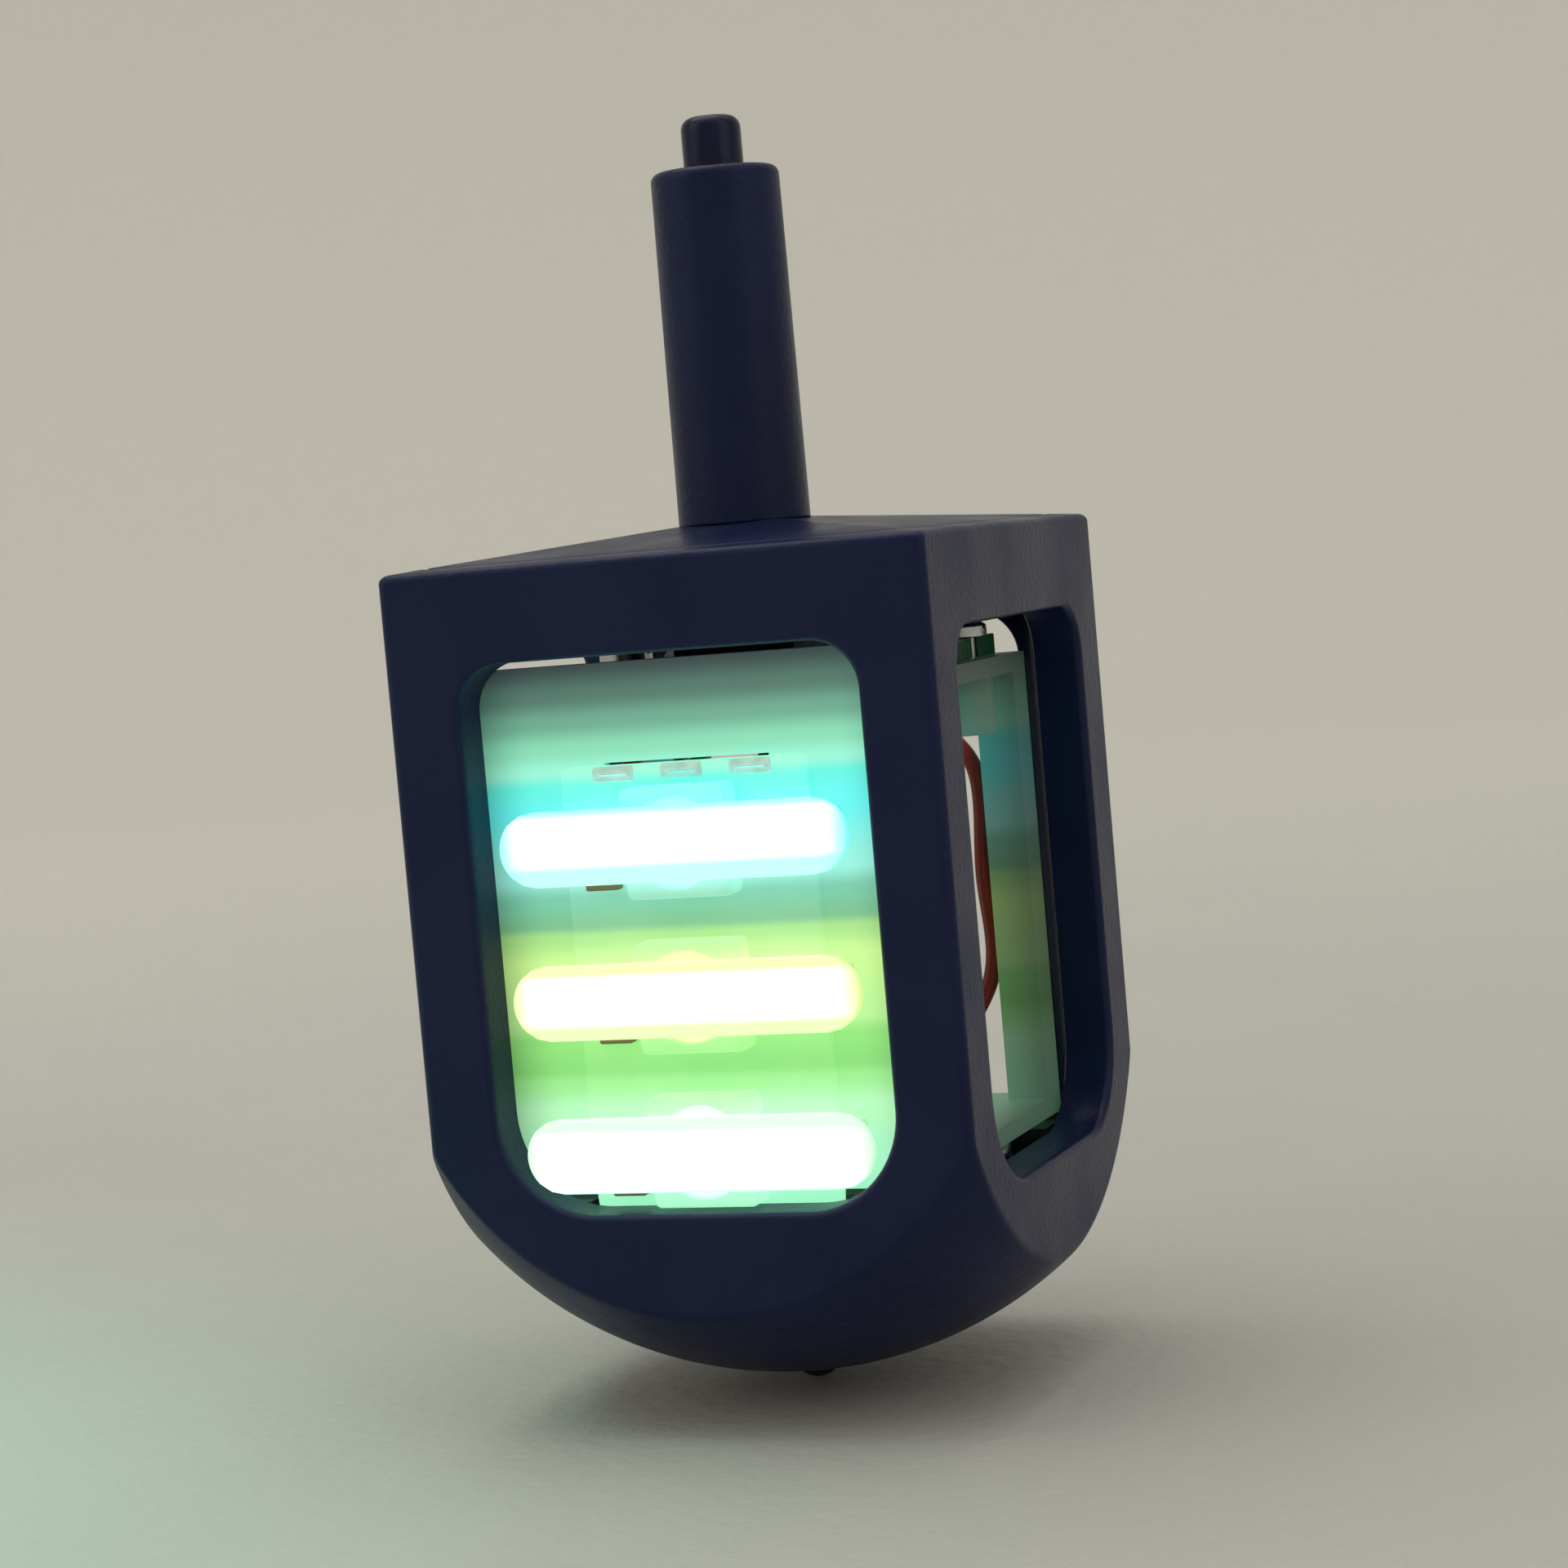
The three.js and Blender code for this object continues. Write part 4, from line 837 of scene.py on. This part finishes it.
def lit_resin(name, low, high, rear, above, below, white_from, white_to):
    """Milky lit plastic: white between two shares of its height and the light's colour at its edges, with an
    eased run between them. The colour takes over by smoothstep towards the ends, and dims on the legs."""
    material, tree, shader = new_material("lit resin " + name, 0.22, coat=0.3)
    shader.inputs["Base Color"].default_value = RESIN_COLOUR
    axes = object_axes(tree)
    lit = banded(tree, ranged(tree, axes["Z"], low.z, high.z), [
        (white_from - BAR_FADE, below), (white_from, BAR_CORE),
        (white_to, BAR_CORE), (white_to + BAR_FADE, above)])
    end = ranged(tree, aside(tree, axes), high.x - END_FADE, high.x, easing="SMOOTHSTEP")
    behind = ranged(tree, axes["Y"], rear, rear + LEG_FADE)
    dim = tuple(LEG_GLOW * part for part in above)
    glow = blended(tree, behind, blended(tree, end, lit, above), dim)
    tree.links.new(glow, shader.inputs["Emission Color"])
    shader.inputs["Emission Strength"].default_value = BAR_STRENGTH
    return material


for light, slot_name in LIGHTS.items():
    package_low, package_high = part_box("led_housing_" + light)
    lens_low, lens_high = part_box("led_lens_" + light)
    bar_low, bar_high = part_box("light_bar_" + light)
    face_rear = package_low.y - PRESS_GAP
    resin = lit_resin(light, bar_low, bar_high, face_rear, *BAR_COLOURS[light])
    lens_resin = lit_resin(light + " lens", bar_low, bar_high, lens_high.y, *BAR_COLOURS[light])
    cup_depth = lens_high.y - package_low.y + PRESS_GAP
    make_piece(
        "light_package_" + light, [(package_grid(package_low, package_high, cup_depth), True)],
        led_white, "housing", ["led_housing_" + light])
    make_piece(
        "light_lens_" + light, [(lens_grid(lens_low, lens_high, LENS_CROWN), True)],
        lens_resin, "housing", ["led_lens_" + light])
    # The bar's face is a crowned strip with round ends; two square legs behind it stand on the carrier.
    bar_half = (bar_high.z - bar_low.z) / 2
    face = raised_pad(bar_low, (bar_high.x, face_rear, bar_high.z), bar_half, BAR_ROUNDING, BAR_CROWN)
    leg_inner = strip_high.x + LEG_ASIDE
    middle_height = (bar_low.z + bar_high.z) / 2
    legs = []
    for side in (-1, 1):
        inner, outer = sorted((side * leg_inner, side * (leg_inner + LEG_WIDTH)))
        legs.append((raised_pad(
            (inner, face_rear + LEG_GAP, middle_height - LEG_HALF_HEIGHT),
            (outer, bar_high.y, middle_height + LEG_HALF_HEIGHT), LEG_CORNER, LEG_ROUNDING), True))
    make_piece(
        "glow_bar_" + light, [(face, True), *legs], resin, "housing", ["light_bar_" + light])


# ---- Carrier ----
# A moulding in milky white plastic, drawn in dark grey-green greys that are painted shade: a front wall for
# the strip, a floor that holds the cell down, two rear posts and a frame with screw bosses under the board.
# Light from the front leaks through it, painted on as glow.
FLAT_DEGREES, CRISP_DEGREES = 0.5, 30


def finished_copy(name, node, rounding, material, body):
    """A CAD solid's own surface, welded, its flat faces made whole, with every sharp edge rounded."""
    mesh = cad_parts[node].data.copy()
    mesh.name = name
    surface = bmesh.new()
    surface.from_mesh(mesh)
    bmesh.ops.remove_doubles(surface, verts=surface.verts, dist=WELD)
    bmesh.ops.dissolve_limit(
        surface, angle_limit=math.radians(FLAT_DEGREES), verts=surface.verts, edges=surface.edges)
    surface.to_mesh(mesh)
    surface.free()
    piece = finish_piece(name, mesh, material, body, [node], sharp=CRISP_DEGREES)
    bevel = piece.modifiers.new("rounded edges", "BEVEL")
    bevel.width = rounding
    bevel.segments = 2
    bevel.limit_method = "ANGLE"
    bevel.angle_limit = math.radians(CRISP_DEGREES)
    piece.modifiers.move(0, len(piece.modifiers) - 1)
    return piece


# The carrier is white plastic: its dark greys are painted shade, and the column's light on it is painted
# glow.
carrier_plastic = backlit(
    "white plastic in painted shade", 140, (0.055, 0.065, 0.060), (0.070, 0.082, 0.075), 0.5, 0.2)
finished_copy("light_holder", "light_carrier", 0.12 * MM, carrier_plastic, "housing")


# ---- Board, switch and small parts ----
# A green board is screwed on the carrier's frame, with the push switch on top and a chip, a diode, a
# capacitor and a resistor soldered below. Small brown capacitors sit on the strip beside its lights.
STREAK_SPREAD = 0.14
CAPACITOR_CORNER, CAPACITOR_ROUNDING = 0.1 * MM, 0.06 * MM


def board_material():
    """Green solder mask over copper: the tracks are the thin, lighter joints of a brick pattern."""
    material, tree, shader = new_material("solder mask", 0.3, coat=0.4)
    tracks = place_node(tree, "TexBrick", {
        "Vector": object_place(tree), "Scale": 420, "Mortar Size": 0.035,
        "Color1": (0.010, 0.075, 0.032), "Color2": (0.013, 0.090, 0.038), "Mortar": (0.035, 0.19, 0.075)})
    tree.links.new(tracks.outputs["Color"], shader.inputs["Base Color"])
    return material


def metal(name, deep, pale, roughness, streak_scale):
    """Bare metal: two close shades and a roughness that follow fine cloudy streaks."""
    material, tree, shader, streaks = drifting(name, streak_scale, deep, pale, roughness, metallic=1.0)
    rough = ranged(tree, streaks, 0, 1, roughness, roughness + STREAK_SPREAD)
    tree.links.new(rough, shader.inputs["Roughness"])
    return material


solder_mask = board_material()
chip_epoxy = moulded_plastic("chip epoxy", (0.010, 0.010, 0.011), (0.018, 0.018, 0.019), 0.5, 0.05, 0.3)
ceramic = moulded_plastic("fired ceramic", (0.20, 0.12, 0.06), (0.28, 0.18, 0.09), 0.5, 0.08, 0.2)
white_plastic = moulded_plastic("white plastic", (0.55, 0.56, 0.53), (0.62, 0.63, 0.60), 0.4, 0.05, 0.1)
screw_steel = metal("zinc plated steel", (0.42, 0.42, 0.44), (0.58, 0.58, 0.60), 0.24, 900)
solder_tin = metal("solder", (0.50, 0.51, 0.53), (0.66, 0.67, 0.69), 0.3, 1500)
glowing(solder_tin, 0.3, 0.35)

for name, node, rounding_mm, material, body, slot in (
        ("board", "controller_board", 0.06, solder_mask, "housing", "circuit_board"),
        ("chip", "controller_chip", 0.06, chip_epoxy, "housing", "chip_plastic"),
        ("capacitor", "board_capacitor", 0.08, ceramic, "housing", "capacitor_ceramic"),
        ("resistor", "board_resistor", 0.05, chip_epoxy, "housing", "chip_plastic"),
        ("diode", "board_diode", 0.1, chip_epoxy, "housing", "chip_plastic"),
        ("switch_case", "switch_body", 0.1, chip_epoxy, "housing", "chip_plastic"),
        ("switch_button_cap", "switch_plunger", 0.2, white_plastic, "switch_button", "white_plastic"),
        ("screw_left", "board_screw_left", 0.05, screw_steel, "housing", "screw_steel"),
        ("screw_right", "board_screw_right", 0.05, screw_steel, "housing", "screw_steel")):
    finished_copy(name, node, rounding_mm * MM, material, body)
for light in LIGHTS:
    name = "strip_capacitor_" + light
    make_piece(
        "small_capacitor_" + light,
        [(raised_pad(*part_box(name), CAPACITOR_CORNER, CAPACITOR_ROUNDING), True)],
        ceramic, "housing", [name])


# ---- Bush and spring ----
# A black bush glued in the bore guides the pin's rod. A spring of drawn steel wire stands on it and pushes
# the pin's flange up.
SPRING_TURNS, RINGS_PER_TURN = 8, 40
SPRING_POINTS = 4000
SPRING_WIRE_RADIUS = 0.2 * MM
END_STEP, END_SHARE = 0.08, 0.8

spring_steel = metal("drawn spring wire", (0.50, 0.50, 0.52), (0.66, 0.66, 0.68), 0.2, 2200)
finished_copy("bush", "stem_bush", 0.08 * MM, black_plastic, "cover")


def tube(route, radius, reference, sides=16):
    """A round wire along a route: at each point a circle across the tangent, from the unit vectors
    n = tangent x reference and b = tangent x n, drawn together at both ends."""
    tangent = np.gradient(route, axis=0)
    tangent /= np.linalg.norm(tangent, axis=1)[:, None]
    first = np.cross(tangent, reference)
    first /= np.linalg.norm(first, axis=1)[:, None]
    second = np.cross(tangent, first)
    angle = np.linspace(0, 2 * math.pi, sides, endpoint=False)[None, :, None]
    around = np.cos(angle) * first[:, None] + np.sin(angle) * second[:, None]
    rings = route[:, None] + radius * around
    start, end = np.repeat(route[:1], sides, axis=0), np.repeat(route[-1:], sides, axis=0)
    edge = END_SHARE * radius
    first_cap = [start[None], (start + edge * around[0])[None]]
    return np.concatenate([*first_cap, rings[1:-1], (end + edge * around[-1])[None], end[None]])


def evened(route, steps):
    """The same route with its points evenly spaced along its length, and one more close to each end."""
    travelled = np.concatenate([[0], np.cumsum(np.linalg.norm(np.diff(route, axis=0), axis=1))])
    wanted = np.linspace(0, travelled[-1], steps)
    short = wanted[1] * END_STEP
    wanted = np.insert(wanted, [1, steps - 1], [short, travelled[-1] - short])
    return np.stack([np.interp(wanted, travelled, route[:, i]) for i in range(3)], -1)


spring_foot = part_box("stem_bush")[1].z + SPRING_WIRE_RADIUS + PRESS_GAP
spring_end = flange_top - FLANGE_HEIGHT - SPRING_WIRE_RADIUS - PRESS_GAP
turn_angle = np.linspace(0, 2 * math.pi * SPRING_TURNS, SPRING_POINTS)
coil_radius = STEM_BORE_RADIUS - SPRING_WIRE_RADIUS - 2 * PIN_GAP
coil = np.stack([
    coil_radius * np.cos(turn_angle), coil_radius * np.sin(turn_angle),
    np.linspace(spring_foot, spring_end, SPRING_POINTS)], -1)
spring = make_piece(
    "pin_spring",
    [(tube(evened(coil, RINGS_PER_TURN * SPRING_TURNS), SPRING_WIRE_RADIUS, (0, 0, 1), sides=12), True)],
    spring_steel, "cover", ["button_spring"], sharp=60)
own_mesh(spring)


# ---- Cell, holder and contacts ----
# A coin cell lies in a black holder in the base of the shell. Nickel plated leaves touch its underside and
# its top and stand up as tabs for the wires.
CELL_GROOVE = 0.12 * MM
CAP_INSET, CAN_FOOT = 1.2 * MM, 0.25 * MM
CAP_ROUNDING, STEP_ROUNDING, GROOVE_ROUNDING = 0.15 * MM, 0.08 * MM, 0.05 * MM
CAN_LOWER_ROUNDING, CAN_UPPER_ROUNDING = 0.3 * MM, 0.35 * MM

cell_steel = metal("brushed can steel", (0.52, 0.52, 0.54), (0.70, 0.70, 0.72), 0.22, 1300)
contact_nickel = metal("nickel plate", (0.48, 0.46, 0.41), (0.64, 0.62, 0.56), 0.26, 1100)
cell_low, cell_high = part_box("coin_cell")
cell_radius = cell_high.x
cap_radius = cell_radius - CAP_INSET
can_foot = cell_low.z + CAN_FOOT
cell_profile = rounded_path(
    [(0, cell_low.z), (cap_radius, cell_low.z), (cap_radius, can_foot), (cell_radius, can_foot),
     (cell_radius, cell_high.z), (cap_radius, cell_high.z),
     (cap_radius - CELL_GROOVE, cell_high.z - CELL_GROOVE), (cap_radius - 2 * CELL_GROOVE, cell_high.z),
     (0, cell_high.z)],
    [CAP_ROUNDING, STEP_ROUNDING, CAN_LOWER_ROUNDING, CAN_UPPER_ROUNDING, *[GROOVE_ROUNDING] * 3])
make_piece("cell", [(turned(cell_profile, 160), True)], cell_steel, "housing", ["coin_cell"])
finished_copy("cell_holder", "battery_holder", 0.12 * MM, black_plastic, "housing")
for side in ("negative", "positive"):
    finished_copy(
        "contact_leaf_" + side, "cell_contact_" + side, 0.05 * MM, contact_nickel, "housing")


# ---- Solder pads and wires ----
# Three tinned pads at the head of the strip carry short wires that go through the carrier to the board, and
# two longer wires climb from the cell's tabs to the board. The wires have soft coloured insulation.
WIRE_RADIUS = 0.4 * MM
CARRIER_WALL = 1.2 * MM
POST_CLEARANCE = 2.7 * MM
WIRE_BEND = 5.5 * MM
END_SLICE = 0.02 * MM
PAD_CORNER, PAD_ROUNDING, PAD_CROWN = 0.15 * MM, 0.03 * MM, 0.06 * MM
WIRE_SHADES = {
    "red": ((0.30, 0.012, 0.010), (0.42, 0.020, 0.016)),
    "green": ((0.012, 0.14, 0.045), (0.020, 0.20, 0.065)),
    "black": ((0.008, 0.008, 0.009), (0.014, 0.014, 0.015)),
}

# Soft glossy insulation with a slight drift of shade.
insulation = {
    colour: moulded_plastic(colour + " insulation", *shades, 0.34, 0.05, 0.05)
    for colour, shades in WIRE_SHADES.items()}


def end_middle(node, axis, at_top):
    """The middle of a wire's end face: halfway across the CAD points that lie furthest along an axis."""
    points = np.array([vertex.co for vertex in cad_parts[node].data.vertices])
    along = points[:, axis] if at_top else -points[:, axis]
    face = points[along > along.max() - END_SLICE]
    return (face.min(axis=0) + face.max(axis=0)) / 2


def smooth_route(points, steps=200):
    """A centripetal Catmull-Rom curve: between two points a Hermite cubic, whose tangents weigh the slopes
    on both sides by the square roots of the distances."""
    points = np.array([np.asarray(point, float) for point in points])
    points = np.concatenate([[2 * points[0] - points[1]], points, [2 * points[-1] - points[-2]]])
    t = np.linspace(0, 1, steps, endpoint=False)[:, None]
    parts = []
    for before, first, second, after in zip(points, points[1:], points[2:], points[3:]):
        gap0, gap1, gap2 = (
            math.sqrt(np.linalg.norm(end - start))
            for start, end in ((before, first), (first, second), (second, after)))
        leave = (first - before) / gap0 - (second - before) / (gap0 + gap1) + (second - first) / gap1
        arrive = (second - first) / gap1 - (after - first) / (gap1 + gap2) + (after - second) / gap2
        leave, arrive = leave * gap1, arrive * gap1
        parts.append(
            first + leave * t + (3 * (second - first) - 2 * leave - arrive) * t ** 2
            + (2 * (first - second) + leave + arrive) * t ** 3)
    return np.concatenate([*parts, points[-2:-1]])


for name, colour in (("power", "red"), ("data", "green"), ("ground", "black")):
    pad_low, pad_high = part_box("strip_pad_" + name)
    make_piece(
        "solder_pad_" + name,
        [(raised_pad(pad_low, pad_high, PAD_CORNER, PAD_ROUNDING, PAD_CROWN), True)],
        solder_tin, "housing", ["strip_pad_" + name])
    wire_node = "strip_wire_" + name
    wire_start, wire_end = end_middle(wire_node, 1, False), end_middle(wire_node, 2, True)
    wall_back = wire_start + (0, CARRIER_WALL - PRESS_GAP, 0)
    bend = (wall_back + (0, wire_end[1], 0)) / (1, 2, 1) + (0, WIRE_RADIUS, 2 * WIRE_RADIUS)
    climb = np.array([wire_end[0], wire_end[1], (wire_start[2] + wire_end[2]) / 2 + WIRE_RADIUS])
    route = smooth_route([wire_start, wall_back, bend, climb, wire_end])
    make_piece(
        "column_wire_" + name, [(tube(evened(route, 40), WIRE_RADIUS, (1, 0, 0)), True)],
        insulation[colour], "housing", [wire_node], sharp=60)
post_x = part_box("light_carrier")[1].x - POST_CLEARANCE
post_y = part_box("light_carrier")[1].y - 2 * WIRE_RADIUS
for name, colour, side in (("positive", "red", 1), ("negative", "black", -1)):
    wire_node = "battery_wire_" + name
    wire_start, wire_end = end_middle(wire_node, 2, False), end_middle(wire_node, 2, True)
    route = smooth_route([
        wire_start, wire_start + (0, 0, 2 * WIRE_RADIUS),
        (side * post_x, post_y, wire_start[2] + WIRE_BEND),
        (side * post_x, post_y, (wire_start[2] + wire_end[2]) / 2),
        (side * post_x, post_y, wire_end[2] - WIRE_BEND),
        wire_end - (0, 0, 6 * WIRE_RADIUS), wire_end])
    make_piece(
        "cell_wire_" + name, [(tube(evened(route, 90), WIRE_RADIUS, (0, 1, 0)), True)],
        insulation[colour], "housing", [wire_node], sharp=60)


# ---- Light from the window ----
# The lit column throws a wide, faint pool of green light out of the front window, on the floor to the left
# of the top. A lamp over that spot, narrowed to a cone, stands for it.
POOL_X, POOL_Y, POOL_LAMP_HEIGHT = -90 * MM, -60 * MM, 130 * MM
POOL_LAMP_SIZE, POOL_POWER = 60 * MM, 0.042
POOL_COLOUR = (0.10, 1.0, 0.62)
POOL_SPREAD = math.radians(75)

window_light = soft_lamp(
    "window_light", (POOL_X, POOL_Y, POOL_LAMP_HEIGHT), (POOL_X, POOL_Y, 0),
    POOL_LAMP_SIZE, POOL_POWER, POOL_COLOUR)
window_light.data.spread = POOL_SPREAD
